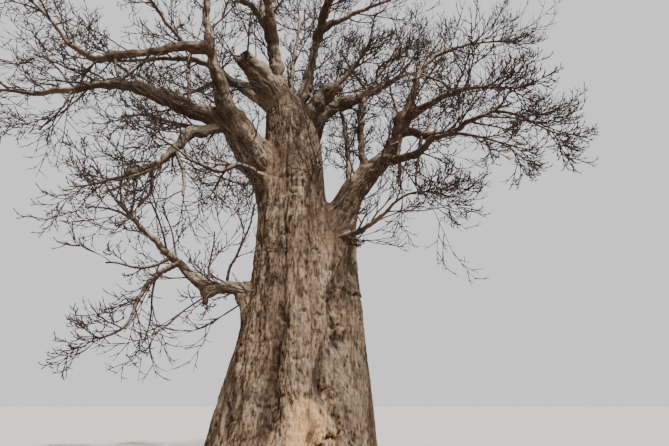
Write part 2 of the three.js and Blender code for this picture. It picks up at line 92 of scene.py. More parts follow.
# Every limb: what bears it, the height or share where it springs from that, its length, then
# the heading, climb and radius at even steps from root to tip.
limbShape = {"steps": 5, "finePerStep": 8, "rows": [
    ("bough_left_main", "trunk", 6.6, 3.25, [182, 206, 220, 230], [52, 50, 47, 43],
     [0.6, 0.56, 0.5, 0.33]),
    ("bough_left_long", "bough_left_main", 0.93, 5.3, [194, 195, 190, 184, 179, 174],
     [2, 14, 29, -1, -21, 10], [0.29, 0.235, 0.19, 0.135, 0.095, 0.06]),
    ("bough_left_fork", "bough_left_main", 0.9, 3.3, [205, 207, 226, 212, 196],
     [-32, -20, -62, -50, -24], [0.17, 0.15, 0.12, 0.085, 0.05]),
    ("bough_left_upright", "bough_left_main", 0.88, 3.95, [245, 258, 236, 160, 130],
     [25, 42, 68, 82, 86], [0.29, 0.2, 0.14, 0.105, 0.08]),
    ("bough_left_upper", "bough_left_upright", 0.54, 3.6, [193, 189, 187, 182, 180],
     [4, -20, -14, -8, 60], [0.125, 0.105, 0.1, 0.095, 0.06]),
    ("bough_low_left", "trunk", 4.2, 2.3, [202, 202, 208, 211], [10, 6, 0, -30],
     [0.22, 0.175, 0.15, 0.13]),
    ("bough_low_left_outer", "bough_low_left", 0.95, 3.05, [206, 198, 198, 194], [32, 40, 42, 46],
     [0.13, 0.1, 0.065, 0.042]),
    ("bough_low_left_hanging", "bough_low_left_outer", 0.33, 1.6, [194, 206, 238], [-24, -58, -80],
     [0.08, 0.06, 0.038]),
    ("bough_top_left", "trunk", 10, 3.9, [186, 250, 246, 212, 204], [68, 74, 60, 36, 10],
     [0.26, 0.235, 0.185, 0.12, 0.075]),
    ("bough_top_left_inner", "bough_top_left", 0.55, 1.9, [150, 138], [70, 80],
     [0.13, 0.105, 0.08]),
    ("bough_broken_stub", "trunk", 9.6, 2.3, [217, 230, 228], [50, 32, 16],
     [0.4, 0.37, 0.31, 0.22]),
    ("bough_back_left", "trunk", 9.9, 5.2, [158, 142, 142, 140, 139], [48, 40, 34, 22, 3],
     [0.21, 0.165, 0.135, 0.105, 0.075]),
    ("bough_back_left_low", "trunk", 9.7, 4.6, [184, 189, 190, 191, 188], [25, 32, 38, 0, -17],
     [0.16, 0.13, 0.105, 0.08, 0.05]),
    ("bough_top_right", "trunk", 9.5, 5.85, [5, 36, 48, 50, 43, 45], [56, 78, 78, 77, 71, 72],
     [0.22, 0.17, 0.145, 0.13, 0.095, 0.07]),
    ("bough_top_right_side", "bough_top_right", 0.69, 2.45, [0, 0], [34, 24],
     [0.105, 0.075, 0.05]),
    ("bough_middle_riser", "trunk", 9.9, 3.15, [50, 100, 80, 72], [62, 74, 76, 76],
     [0.12, 0.085, 0.075, 0.065]),
    ("bough_right_stub", "trunk", 8.9, 2.15, [-20, -2, 0], [60, 54, 44], [0.32, 0.26, 0.2]),
    ("bough_right_main", "trunk", 4.6, 5.6, [355, 355, 345, 350, 350, 344, 322],
     [42, 52, 72, 57, 42, 55, 80], [0.4, 0.43, 0.43, 0.35, 0.29, 0.2, 0.155]),
    ("bough_right_rising", "bough_right_main", 0.98, 4.9, [14, 50, 38, 21, 19],
     [62, 71, 57, 38, 26], [0.13, 0.11, 0.088, 0.072, 0.05]),
    ("bough_right_middle", "bough_right_main", 0.98, 2.1, [313, 304, 298], [8, -6, -20],
     [0.115, 0.088, 0.06]),
    ("bough_right_drooping", "bough_right_main", 0.93, 2.6, [341, 328, 325, 332],
     [-26, -26, 16, 7], [0.125, 0.1, 0.08, 0.052]),
    ("bough_right_low", "bough_right_main", 0.72, 2.5, [314, 312, 308, 314], [-4, -16, 20, -25],
     [0.15, 0.12, 0.09, 0.048]),
    ("bough_inner_riser", "bough_right_main", 0.63, 5.9, [93, 93, 80, 55, 38],
     [57, 64, 67, 63, 55], [0.125, 0.11, 0.1, 0.088, 0.068]),
    ("bough_back_riser", "bough_right_main", 0.5, 5.6, [90, 93, 100, 95], [64, 63, 63, 66],
     [0.105, 0.08, 0.065, 0.05]),
    ("bough_front_stub", "trunk", 6.4, 1.8, [310, 304], [42, 60], [0.17, 0.135, 0.105]),
    ("bough_small_right", "trunk", 5.5, 2.9, [342, 335, 330, 326], [8, 6, 16, 42],
     [0.11, 0.085, 0.07, 0.04]),
    ("bough_small_left", "trunk", 6.75, 3.2, [216, 232, 218, 208, 218], [20, 26, 14, -40, 40],
     [0.11, 0.09, 0.075, 0.055, 0.038]),
    ("bough_back_main", "trunk", 8.2, 6.2, [80, 90, 94], [44, 40, 50], [0.43, 0.33, 0.23, 0.14]),
    ("bough_back_right", "trunk", 9.1, 5.6, [40, 34, 44], [48, 36, 44], [0.34, 0.25, 0.17, 0.1]),
    ("bough_back_low", "trunk", 7.2, 5.4, [108, 120, 132], [38, 24, 34], [0.34, 0.25, 0.16, 0.09]),
    ("bough_front_left", "bough_top_left", 0.52, 4.6, [268, 262, 250], [50, 42, 36],
     [0.15, 0.115, 0.07]),
    ("bough_front_right", "bough_top_right", 0.6, 4.4, [292, 300, 308], [46, 40, 34],
     [0.125, 0.1, 0.065]),
]}

# Side arms that the limbs bear besides, told in the same way.
armShape = {"rows": [
    ("arm_long_a", "bough_left_long", 0.68, 1.74, [193, 189, 191, 194], [37, 22, 19, 35],
     [0.038, 0.02]),
    ("arm_long_b", "bough_left_long", 0.8, 2.32, [160, 160, 166, 168], [38, 50, 40, 27],
     [0.036, 0.018]),
    ("arm_long_c", "bough_left_long", 0.82, 1.6, [255, 242, 221, 247], [-79, -76, -60, -72],
     [0.034, 0.018]),
    ("arm_link", "bough_left_long", 0.45, 1.81, [167, 167, 167, 165], [52, 47, 39, 40],
     [0.045, 0.03]),
    ("arm_pale_riser", "bough_left_long", 0.23, 2.52, [88, 144, 122, 49], [76, 73, 78, 75],
     [0.06, 0.035]),
    ("arm_under_main", "bough_left_main", 0.85, 2.98, [191, 195, 202, 199], [-9, -1, 10, -27],
     [0.075, 0.03]),
    ("arm_fork_claw", "bough_left_fork", 0.85, 1.09, [24, 97, 164, 165], [-58, -79, -58, -41],
     [0.055, 0.028]),
    ("arm_fork_left", "bough_left_fork", 0.65, 1.59, [236, 218, 208, 207], [-67, -51, -30, -27],
     [0.05, 0.022]),
    ("arm_fork_stub", "bough_left_fork", 0.6, 1.49, [-20, -20, -43, -98], [-63, -63, -72, -73],
     [0.055, 0.035]),
    ("arm_upper_riser", "bough_left_upper", 0.17, 2.04, [199, 194, 199, 202], [50, 49, 53, 54],
     [0.06, 0.03]),
    ("arm_upper_knob", "bough_left_upper", 0.65, 0.7, [-35, -34, -23, -23], [-75, -75, -68, -68],
     [0.05, 0.02]),
    ("arm_low_left_side", "bough_low_left_outer", 0.4, 1.5, [196, 204, 204, 203],
     [-35, -26, 16, -14], [0.05, 0.02]),
    ("arm_arch_riser", "bough_low_left", 0.78, 2.18, [-74, -18, -27, -69], [79, 61, 67, 77],
     [0.04, 0.02]),
    ("arm_arch_shoot", "bough_low_left", 0.97, 1.67, [145, 106, 64, 132], [74, 80, 78, 74],
     [0.035, 0.016]),
    ("arm_low_knob", "bough_low_left", 1, 0.3, [-118, -82, -29, -29], [-77, -79, -73, -73],
     [0.1, 0.05]),
    ("arm_low_tip_a", "bough_low_left_outer", 0.8, 1.19, [200, 201, 202, 201], [32, 20, 1, -16],
     [0.035, 0.018]),
    ("arm_low_tip_b", "bough_low_left_outer", 0.88, 1.45, [63, 121, 140, 145], [71, 70, 65, 63],
     [0.035, 0.018]),
    ("arm_knob_hanging", "bough_right_main", 0.97, 2.16, [216, 229, 268, 234],
     [-77, -79, -80, -76], [0.075, 0.04]),
    ("arm_right_link", "bough_right_drooping", 0.33, 1.15, [35, 35, 50, 50], [73, 73, 77, 77],
     [0.045, 0.03]),
    ("arm_right_hook", "bough_right_drooping", 0.28, 1.73, [214, 220, 228, 234],
     [-73, -74, -76, -78], [0.055, 0.028]),
    ("arm_rising_side", "bough_right_rising", 0.45, 1.92, [-20, -27, -38, -42],
     [-34, -43, -56, -63], [0.04, 0.02]),
    ("arm_knob_riser", "bough_right_main", 0.97, 1.54, [205, 213, 228, 244], [66, 70, 74, 77],
     [0.04, 0.018]),
    ("arm_inner_fork", "bough_inner_riser", 0.78, 1.87, [191, 191, 192, 198], [58, 57, 60, 68],
     [0.055, 0.028]),
    ("arm_inner_side", "bough_inner_riser", 0.95, 1.52, [-92, -28, -19, -19], [71, 25, 1, 4],
     [0.045, 0.02]),
    ("arm_back_fork", "bough_back_riser", 0.65, 1.75, [216, 207, 207, 217], [74, 68, 66, 73],
     [0.045, 0.022]),
    ("arm_right_fan", "bough_right_drooping", 0.75, 1.25, [-28, -25, -23, -22], [14, 17, 14, 9],
     [0.045, 0.02]),
]}

# Every mass of twigs: its limb, the length, heading and climb of its stem, and its seed.
massShape = {"gap": 0.0004, "collar": 0.12, "thickest": 0.09, "rows": [
    ("twigs_left_long", "bough_left_long", 2.9, [174, 170, 182], [16, 6, 22], 11),
    ("twigs_left_fork", "bough_left_fork", 1.2, [196, 200, 190], [-24, -26, -4], 12),
    ("twigs_left_upright", "bough_left_upright", 2.9, [180, 226, 236], [80, 62, 54], 13),
    ("twigs_left_upper", "bough_left_upper", 3.1, [184, 190, 194], [56, 40, 44], 14),
    ("twigs_low_left", "bough_low_left_outer", 1.5, [194, 190, 176], [50, 60, 52], 15),
    ("twigs_low_left_hanging", "bough_low_left_hanging", 1.2, [224, 196, 186], [-66, -20, 10], 16),
    ("twigs_top_left", "bough_top_left", 3, [204, 196, 190], [16, 32, 46], 17),
    ("twigs_top_left_inner", "bough_top_left_inner", 3.3, [138, 150, 170], [80, 74, 62], 18),
    ("twigs_back_left", "bough_back_left", 3.2, [139, 145, 150], [8, 26, 40], 19),
    ("twigs_back_left_low", "bough_back_left_low", 2.9, [186, 176, 168], [-12, 10, 26], 20),
    ("twigs_top_right", "bough_top_right", 3.1, [45, 60, 70], [72, 68, 58], 21),
    ("twigs_top_right_side", "bough_top_right_side", 3, [2, -8, -14], [24, 36, 44], 22),
    ("twigs_middle", "bough_middle_riser", 3.2, [72, 100, 110], [76, 66, 56], 23),
    ("twigs_right_stub", "bough_right_stub", 1.8, [0, -15, -30], [46, 56, 60], 24),
    ("twigs_right_rising", "bough_right_rising", 2.2, [19, 14, 10], [24, 14, 6], 25),
    ("twigs_right_middle", "bough_right_middle", 1.5, [304, 336, 348], [-20, -18, -10], 26),
    ("twigs_right_drooping", "bough_right_drooping", 1.9, [334, 344, 352], [-14, -44, -26], 27),
    ("twigs_right_low", "bough_right_low", 1.8, [322, 346, 352], [-26, -26, -22], 28),
    ("twigs_inner_riser", "bough_inner_riser", 3.2, [36, 32, 36], [52, 50, 62], 29),
    ("twigs_back_riser", "bough_back_riser", 3, [92, 78, 72], [67, 68, 60], 30),
    ("twigs_small_right", "bough_small_right", 1.6, [328, 342, 350], [34, -10, -28], 31),
    ("twigs_small_left", "bough_small_left", 1.5, [216, 206, 200], [34, 20, 34], 32),
    ("twigs_back_main", "bough_back_main", 3.3, [94, 90, 86], [48, 42, 46], 33),
    ("twigs_back_right", "bough_back_right", 3.4, [44, 50, 46], [44, 36, 40], 34),
    ("twigs_back_low", "bough_back_low", 3.4, [132, 126, 120], [34, 22, 28], 35),
    ("twigs_front_left", "bough_front_left", 2.9, [250, 244, 250], [36, 28, 34], 36),
    ("twigs_front_right", "bough_front_right", 3, [308, 314, 320], [34, 24, 28], 37),
]}


def along(values, share):
    return np.interp(share, np.linspace(0, 1, len(values)), values)


def wayOf(heading, climb):
    turn, rise = math.radians(heading), math.radians(climb)
    return np.array([math.cos(rise) * math.cos(turn), math.cos(rise) * math.sin(turn),
                     math.sin(rise)])


def unit(ways):
    return ways / np.linalg.norm(ways, axis=-1, keepdims=True)


def smoothRows(height, column):
    # a column of the trunk's rows on a smooth curve through them
    rows = np.array(trunkShape["rows"])
    heights, values = rows[:, 0], rows[:, column]
    slopes = np.gradient(values, heights)
    place = np.clip(np.searchsorted(heights, height) - 1, 0, len(heights) - 2)
    span = heights[place + 1] - heights[place]
    t = np.clip((height - heights[place]) / span, 0, 1)
    return ((2 * t**3 - 3 * t**2 + 1) * values[place]
            + (t**3 - 2 * t**2 + t) * span * slopes[place]
            + (3 * t**2 - 2 * t**3) * values[place + 1]
            + (t**3 - t**2) * span * slopes[place + 1])


def smoothStep(value, low, high):
    t = np.clip((value - low) / (high - low), 0, 1)
    return t * t * (3 - 2 * t)


def shortWay(degrees):
    # the same turn, told between -180 and 180 degrees
    return (degrees + 180) % 360 - 180


def trunkReach(facing, height):
    reach = smoothRows(height, 1)
    for ribFacing, width, foot, peak, bulge, top in trunkShape["ribs"]:
        rising = np.clip(height / peak, 0, 1)
        strength = (foot + (bulge - foot) * rising) * (1 - smoothStep(height, peak, top))
        reach = reach + strength * np.exp(-(shortWay(facing - ribFacing) / width) ** 2)
    return reach


def facingAndReach(points):
    height = np.clip(points[:, 2], 0, trunkTop)
    x = points[:, 0] - smoothRows(height, 2)
    facing = np.degrees(np.arctan2(points[:, 1], x)) % 360
    return facing, height, np.hypot(x, points[:, 1])


def walkLine(start, heading, climb, length):
    points, steps = [np.array(start, float)], limbShape["steps"]
    for index in range(steps):
        share = (index + 0.5) / steps
        way = wayOf(along(heading, share), along(climb, share))
        points.append(points[-1] + way * length / steps)
    return np.array(points)


def smoothLines(lines, perSpan):
    # a curve through the points of every line in a block of lines
    first = 2 * lines[:, :1] - lines[:, 1:2]
    last = 2 * lines[:, -1:] - lines[:, -2:-1]
    p = np.concatenate([first, lines, last], axis=1)
    a, b, c, d = p[:, :-3], p[:, 1:-2], p[:, 2:-1], p[:, 3:]
    pieces = []
    for t in np.arange(perSpan) / perSpan:
        pieces.append(0.5 * (2 * b + (c - a) * t + (2 * a - 5 * b + 4 * c - d) * t**2
                             + (3 * b - a - 3 * c + d) * t**3))
    fine = np.stack(pieces, axis=2).reshape(len(lines), -1, 3)
    return np.concatenate([fine, lines[:, -1:]], axis=1)


def placeOn(lines, share):
    # the point and the way ahead at a share of each line
    place = share * (lines.shape[1] - 1)
    index = np.minimum(place.astype(int), lines.shape[1] - 2)
    rows = np.arange(len(lines))
    low, high = lines[rows, index], lines[rows, index + 1]
    return low + (high - low) * (place - index)[:, None], unit(high - low)


def lengthAlong(line):
    steps = np.linalg.norm(np.diff(line, axis=0), axis=1)
    return np.concatenate([[0], np.cumsum(steps)])


nearlyUpright = 0.95


def squareTo(way):
    # two directions square to each way
    guide = np.where(np.abs(way[:, 2:]) > nearlyUpright, [[1.0, 0, 0]], [[0, 0, 1.0]])
    side = unit(np.cross(way, guide))
    return side, np.cross(side, way)


def aside(way, turned):
    # square to each way, and turned round it
    side, lift = squareTo(way)
    return side * np.cos(turned) + lift * np.sin(turned)


def makeLimbs(rows, bearers):
    limbs = {}
    for name, parent, place, length, heading, climb, girth in rows:
        if parent == "trunk":
            start = (float(smoothRows(np.array(place), 2)), 0, place)
        else:
            bearer = limbs.get(parent) or bearers[parent]
            start = placeOn(bearer["plan"][None], np.array([place]))[0][0]
        plan = walkLine(start, heading, climb, length)
        fine = smoothLines(plan[None], limbShape["finePerStep"])[0]
        radii = along(girth, np.linspace(0, 1, len(fine)))
        limbs[name] = {"plan": plan, "line": fine, "radii": radii, "parent": parent,
                       "length": length}
    return limbs


def makeStems(limbs):
    stems = []
    for name, limb, length, heading, climb, seed in massShape["rows"]:
        plan = limbs[limb]["plan"]
        way = unit(plan[-1] - plan[-2])
        root = plan[-1] + way * massShape["gap"]
        bent = walkLine(root + way * massShape["collar"], heading, climb, length)
        radius = min(limbs[limb]["radii"][-1], massShape["thickest"])
        stems.append({"name": name, "line": np.vstack([root, bent]), "radius": radius,
                      "length": length, "seed": seed})
    return stems


limbs = makeLimbs(limbShape["rows"], {})
arms = makeLimbs(armShape["rows"], limbs)
stems = makeStems(limbs)
print("planned", len(limbs), "limbs,", len(arms), "arms and", len(stems), "twig masses")


# Node trees and meshes

def addNode(tree, kind, values=None, **settings):
    node = tree.nodes.new(kind)
    for name, value in settings.items():
        setattr(node, name, value)
    for socket, value in (values or {}).items():
        if isinstance(value, bpy.types.NodeSocket):
            tree.links.new(value, node.inputs[socket])
        else:
            node.inputs[socket].default_value = value
    return node


def mathNode(tree, operation, first, second=0.5):
    return addNode(tree, "ShaderNodeMath", {0: first, 1: second}, operation=operation).outputs[0]


def times(tree, first, *others):
    for other in others:
        first = mathNode(tree, "MULTIPLY", first, other)
    return first


def plus(tree, first, *others):
    for other in others:
        first = mathNode(tree, "ADD", first, other)
    return first


def stretched(tree, vector, scale):
    return addNode(tree, "ShaderNodeVectorMath", {0: vector, 1: scale},
                   operation="MULTIPLY").outputs[0]


def noiseNode(tree, vector, scale, detail=4.0, roughness=0.55, distortion=0.0):
    return addNode(tree, "ShaderNodeTexNoise", {
        "Vector": vector, "Scale": scale, "Detail": detail, "Roughness": roughness,
        "Distortion": distortion}).outputs[0]


def told(tree, name, kind="FLOAT"):
    # what a mesh tells about its points
    return addNode(tree, "GeometryNodeInputNamedAttribute", {"Name": name},
                   data_type=kind).outputs[0]


def spread(tree, value, low, high, newLow=0.0, newHigh=1.0):
    # a value from low to high becomes one from newLow to newHigh, and goes no further
    return addNode(tree, "ShaderNodeMapRange", {
        0: value, 1: low, 2: high, 3: newLow, 4: newHigh}).outputs[0]


def newTree(name, sizes):
    tree = bpy.data.node_groups.new(name, "GeometryNodeTree")
    tree.interface.new_socket("Geometry", in_out="INPUT", socket_type="NodeSocketGeometry")
    for label, value in sizes.items():
        kind = "NodeSocketInt" if isinstance(value, int) else "NodeSocketFloat"
        tree.interface.new_socket(label, in_out="INPUT", socket_type=kind).default_value = value
    tree.interface.new_socket("Material", in_out="INPUT", socket_type="NodeSocketMaterial")
    tree.interface.new_socket("Geometry", in_out="OUTPUT", socket_type="NodeSocketGeometry")
    return tree, tree.nodes.new("NodeGroupInput").outputs


def endTree(tree, geometry, material):
    real = addNode(tree, "GeometryNodeRealizeInstances", {"Geometry": geometry})
    dressed = addNode(tree, "GeometryNodeSetMaterial",
                      {"Geometry": real.outputs[0], "Material": material})
    addNode(tree, "NodeGroupOutput", {0: dressed.outputs[0]})


def useTree(piece, tree, sizes, material):
    modifier = piece.modifiers.new(tree.name, "NODES")
    modifier.node_group = tree
    inputs = {item.name: item.identifier for item in tree.interface.items_tree
              if item.in_out == "INPUT"}
    for label, value in sizes.items():
        modifier[inputs[label]] = value
    modifier[inputs["Material"]] = material
    settle(piece)


def settle(piece):
    # the evaluated shape becomes the piece's own plain mesh
    graph = bpy.context.evaluated_depsgraph_get()
    mesh = bpy.data.meshes.new_from_object(piece.evaluated_get(graph), depsgraph=graph)
    piece.modifiers.clear()
    old = piece.data
    piece.data = mesh
    mesh.name = piece.name
    bpy.data.meshes.remove(old)


def newPiece(name, points, edges=(), faces=()):
    mesh = bpy.data.meshes.new(name)
    mesh.from_pydata(np.asarray(points).tolist(), edges, faces)
    mesh.update()
    piece = bpy.data.objects.new(name, mesh)
    bpy.context.scene.collection.objects.link(piece)
    return piece


def pointsOf(mesh):
    flat = np.empty(len(mesh.vertices) * 3, np.float32)
    mesh.vertices.foreach_get("co", flat)
    return flat.reshape(-1, 3).astype(float)


def setPoints(mesh, points):
    mesh.vertices.foreach_set("co", np.asarray(points, np.float32).ravel())
    mesh.update()


def setValues(mesh, name, values, kind="FLOAT"):
    layer = mesh.attributes.new(name, kind, "POINT")
    field = "vector" if kind == "FLOAT_VECTOR" else "value"
    layer.data.foreach_set(field, np.asarray(values, np.float32).ravel())


def tellTriangles(piece):
    triangles = sum(len(face.vertices) - 2 for face in piece.data.polygons)
    print(piece.name, "has", triangles, "triangles")


# Bark skins: thick wood fused into one surface, then given its relief

skinShape = {
    "voxel": 0.033,
    "sides": 20,
    "footTop": 3.3,       # the trunk's skin is in two pieces, which meet at this height
    "collar": 0.6,        # how far the trunk's piece runs out along a bough
    "thinnest": 0.085,    # thinner wood than this is drawn as a plain tube
    "fade": 0.35,         # length in which the skin dives under the thin wood
    "dive": 0.3,          # how much thinner it is then
    "past": 0.05,         # how far it goes on under the thin wood
    "meeting": 0.012,     # how much thicker the thin wood is where it starts, in the skin
    "flare": 0.22,        # how much a bough swells at its root
    "flareGirth": 0.2,    # a thicker limb swells less there, and a thinner one more
    "flareMost": 4,       # but at most so many times as much
    "flareLength": 0.3,
    "thick": 0.35,        # a thick bough's root reaches less far into the trunk
    "rooted": 0.4,
    "rootedThin": 0.9,
    "smoothing": 3,       # rounds of smoothing all over, and then where limbs meet or bend
    "crotchSmoothing": 14,
    "elbowSmoothing": 45,
    "elbowCore": 0.6,     # share of an elbow's room that is smoothed in full
    "blending": 140,      # rounds in which the told girth runs from limb to limb
    "crotch": 0.25,       # how close to another limb the bark loses its grain
    "search": 0.4,        # how far off its surface a limb still tells the bark its place
    "overTop": 0.1,       # above this the bark is a bough's
    "mostGirth": 1.0,     # the trunk tells no more than this
    "weightLevels": 10,   # steps of strength in which the smoothing fades out
    "knobRings": 7,
    "knobBluntness": 1.04,
    "webSteps": 4,        # points on a web's curve for each one told
    "grainStep": 7.3,     # keeps the bark's pattern of one limb away from the next one's
}
# Waves along a limb: size, rate a metre, and how they shift from limb to limb.
waveShape = {
    "girth": [(0.04, 3.1, 1.7), (0.04, 7.3, 2.9), (0.032, 12.7, 0.7)],
    "sway": [(0.02, 5.9, 1.3), (0.012, 13.1, 1)],
    "dip": [(0.02, 7.7, 2.1), (0.012, 15.7, 1)],
    "thinGirth": [(0.17, 2.3, 5)],    # rate a step of the line here
    "crookedFrom": 0.6,      # the bends grow over this length from the root
    "crookedGirth": 0.09,    # thinner wood than this bends less
}


def waves(travelled, number, rows):
    return sum(size * np.sin(travelled * rate + number * shift) for size, rate, shift in rows)


def carriedFrames(line):
    # the way ahead at each point, with a side square to it that never twists
    way = unit(np.gradient(line, axis=0))
    side, sides = squareTo(way[:1])[0][0], []
    for ahead in way:
        side = unit(side - ahead * side.dot(ahead))
        sides.append(side)
    return way, np.array(sides)


def tubeShape(line, radii):
    # closed tube with a flat cap at each end
    way, sides = carriedFrames(line)
    angles = np.arange(skinShape["sides"]) * 2 * math.pi / skinShape["sides"]
    rings = []
    for point, ahead, side, radius in zip(line, way, sides, radii):
        rings.append(point + radius * (np.outer(np.cos(angles), side)
                                       + np.outer(np.sin(angles), np.cross(ahead, side))))
    return closedRings(np.array(rings))


def closedRings(rings):
    count, sides = rings.shape[:2]
    turn = np.arange(sides)
    after = (turn + 1) % sides
    faces = []
    for ring in range(count - 1):
        low, high = ring * sides, (ring + 1) * sides
        faces += np.stack([low + turn, low + after, high + after, high + turn], 1).tolist()
    faces.append(list(range(sides))[::-1])
    faces.append(list(range((count - 1) * sides, count * sides)))
    return rings.reshape(-1, 3), faces


def joinShapes(shapes):
    points, faces, offset = [], [], 0
    for shapePoints, shapeFaces in shapes:
        points.append(shapePoints)
        faces += [[corner + offset for corner in face] for face in shapeFaces]
        offset += len(shapePoints)
    return np.vstack(points), faces


def trunkPart():
    sides = trunkShape["sides"]
    rise = np.sin(np.linspace(0, 1, trunkShape["rings"]) * math.pi / 2)
    heights = trunkTop * rise ** trunkShape["ringPower"]
    facing = np.arange(sides) * 360 / sides
    angle = np.radians(facing)
    blocks = []
    for height in [-trunkShape["belowGround"], *heights]:
        level = np.full(sides, max(height, 0.0))
        reach = trunkReach(facing, level)
        blocks.append(np.stack([smoothRows(level, 2) + reach * np.cos(angle),
                                reach * np.sin(angle), np.full(sides, height)], 1))
    return closedRings(np.array(blocks))


# Wood that runs down from the limbs' roots into the trunk: points with radii.
webShape = [
    [(1.78, -0.26, 7.32, 0.29), (1.6, -0.22, 7.07, 0.35), (1.46, -0.2, 6.84, 0.39),
     (1.34, -0.18, 6.56, 0.42), (1.26, -0.16, 6.2, 0.44), (1.24, -0.16, 5.7, 0.46),
     (1.24, -0.16, 5.2, 0.47), (1.2, -0.15, 4.6, 0.5), (0.95, -0.1, 3.7, 0.45)],
    [(-1.3, -0.6, 4.37, 0.15), (-1.1, -0.5, 3.95, 0.21), (-0.96, -0.47, 3.24, 0.27),
     (-1.0, -0.5, 2.6, 0.3)],
    [(-1.0, -0.3, 8.05, 0.14), (-0.88, -0.28, 7.65, 0.27), (-0.71, -0.25, 7.18, 0.38),
     (-0.55, -0.22, 6.5, 0.42), (-0.35, -0.15, 5.6, 0.4)],
    [(0.14, 1.82, 9.87, 0.3), (0.07, 1.16, 8.85, 0.33), (0.01, 0.7, 8.0, 0.37),
     (-0.03, 0.4, 7.2, 0.4)],
    [(-0.5, 1.25, 8.1, 0.2), (-0.36, 0.86, 7.5, 0.25), (-0.28, 0.6, 6.9, 0.3),
     (-0.22, 0.4, 6.2, 0.34)],
    [(0.7, 0.69, 10.2, 0.24), (0.49, 0.46, 9.4, 0.27), (0.35, 0.3, 8.6, 0.31),
     (0.25, 0.2, 7.9, 0.34)],
]

# Where a thick limb bends as it leaves the trunk: place and room.
elbowShape = [(1.3, -0.2, 6.45, 0.95)]

# Knobs where old limbs broke off: the limb, the share along it, its reach and radius.
knobShape = [
    ("bough_right_main", 0.98, 0.34, 0.25), ("bough_low_left", 0.97, 0.24, 0.17),
    ("bough_left_upper", 0.66, 0.2, 0.15), ("bough_left_main", 0.93, 0.3, 0.42),
    ("bough_left_fork", 0.97, 0.2, 0.17), ("bough_inner_riser", 0.55, 0.16, 0.13),
]


def knobPart(name, share, reach, radius):
    point, way = placeOn(limbs[name]["line"][None], np.array([share]))
    steps = np.linspace(-1, 1, skinShape["knobRings"])
    line = point[0] + way[0] * steps[:, None] * reach
    return tubeShape(line, radius * np.sqrt(skinShape["knobBluntness"] - steps**2))


def webPart(points):
    rows = np.array(points)
    path = smoothLines(rows[None, :, :3], skinShape["webSteps"])[0]
    return tubeShape(path, along(rows[:, 3], np.linspace(0, 1, len(path))))


def outsideTrunk(line):
    # how far along a limb's line it comes out of the trunk
    facing, height, reach = facingAndReach(line)
    inside = (reach < trunkReach(facing, height)) & (line[:, 2] < trunkTop)
    travelled = lengthAlong(line)
    last = np.max(np.nonzero(inside)[0]) if inside.any() else 0
    return travelled, travelled[last]


def crooked(limb, number):
    # a limb's line as it really runs, with small bends to and fro
    line, travelled = limb["line"], lengthAlong(limb["line"])
    side, lift = squareTo(unit(np.gradient(line, axis=0)))
    bend = (np.clip(limb["radii"] / waveShape["crookedGirth"], 0, 1)
            * np.clip(travelled / waveShape["crookedFrom"], 0, 1))
    return (line + side * (bend * waves(travelled, number, waveShape["sway"]))[:, None]
            + lift * (bend * waves(travelled, number, waveShape["dip"]))[:, None])


def boughPart(limb, number):
    # the thick part of a limb, swollen at its root and unevenly along its length
    size, radii = skinShape, limb["radii"]
    travelled, out = outsideTrunk(limb["line"])
    fromTrunk = limb["parent"] == "trunk"
    grown = radii * (1 + waves(travelled, number, waveShape["girth"]))
    flare = size["flare"] * min(size["flareMost"], (size["flareGirth"] / radii[0]) ** 2)
    grown *= 1 + flare * np.exp(-np.maximum(travelled - out, 0)
                                / (size["flareLength"] + radii[0]))
    end = np.max(travelled[radii >= size["thinnest"]], initial=0)
    if fromTrunk:
        end = max(end, out + size["collar"])
    if end < travelled[-1]:
        grown *= 1 - size["dive"] * smoothStep(travelled, end - size["fade"], end + size["past"])
    keep = travelled <= end + size["past"]
    if fromTrunk:
        keep &= travelled > out - size["rooted" if radii[0] > size["thick"] else "rootedThin"]
    if keep.sum() < 3:
        return None
    return tubeShape(crooked(limb, number)[keep], grown[keep])


def fuse(shapes):
    points, faces = joinShapes(shapes)
    skin = newPiece("wood", points, faces=faces)
    remesh = skin.modifiers.new("fused wood", "REMESH")
    remesh.mode = "VOXEL"
    remesh.voxel_size = skinShape["voxel"]
    remesh.use_smooth_shade = True
    settle(skin)
    return skin


def smoothSkin(skin, weights, rounds):
    # rounds off the surface where the weights say so
    group = skin.vertex_groups.new(name="soft")
    most = skinShape["weightLevels"]
    levels = np.round(weights * most).astype(int)
    for level in range(1, most + 1):
        group.add(np.nonzero(levels == level)[0].tolist(), level / most, "REPLACE")
    smooth = skin.modifiers.new("soft crotches", "SMOOTH")
    smooth.factor = 0.5
    smooth.iterations = rounds
    smooth.vertex_group = "soft"
    settle(skin)
    skin.vertex_groups.clear()


def spreadOut(mesh, values, rounds):
    # blends each point's value with its neighbours' values
    ends = np.zeros(len(mesh.edges) * 2, np.int32)
    mesh.edges.foreach_get("vertices", ends)
    first, second = ends[::2], ends[1::2]
    neighbours = np.maximum(np.bincount(ends, minlength=len(values)), 1)
    for turn in range(rounds):
        total = (np.bincount(first, values[second], len(values))
                 + np.bincount(second, values[first], len(values)))
        values = (values + total / neighbours) / 2
    return values


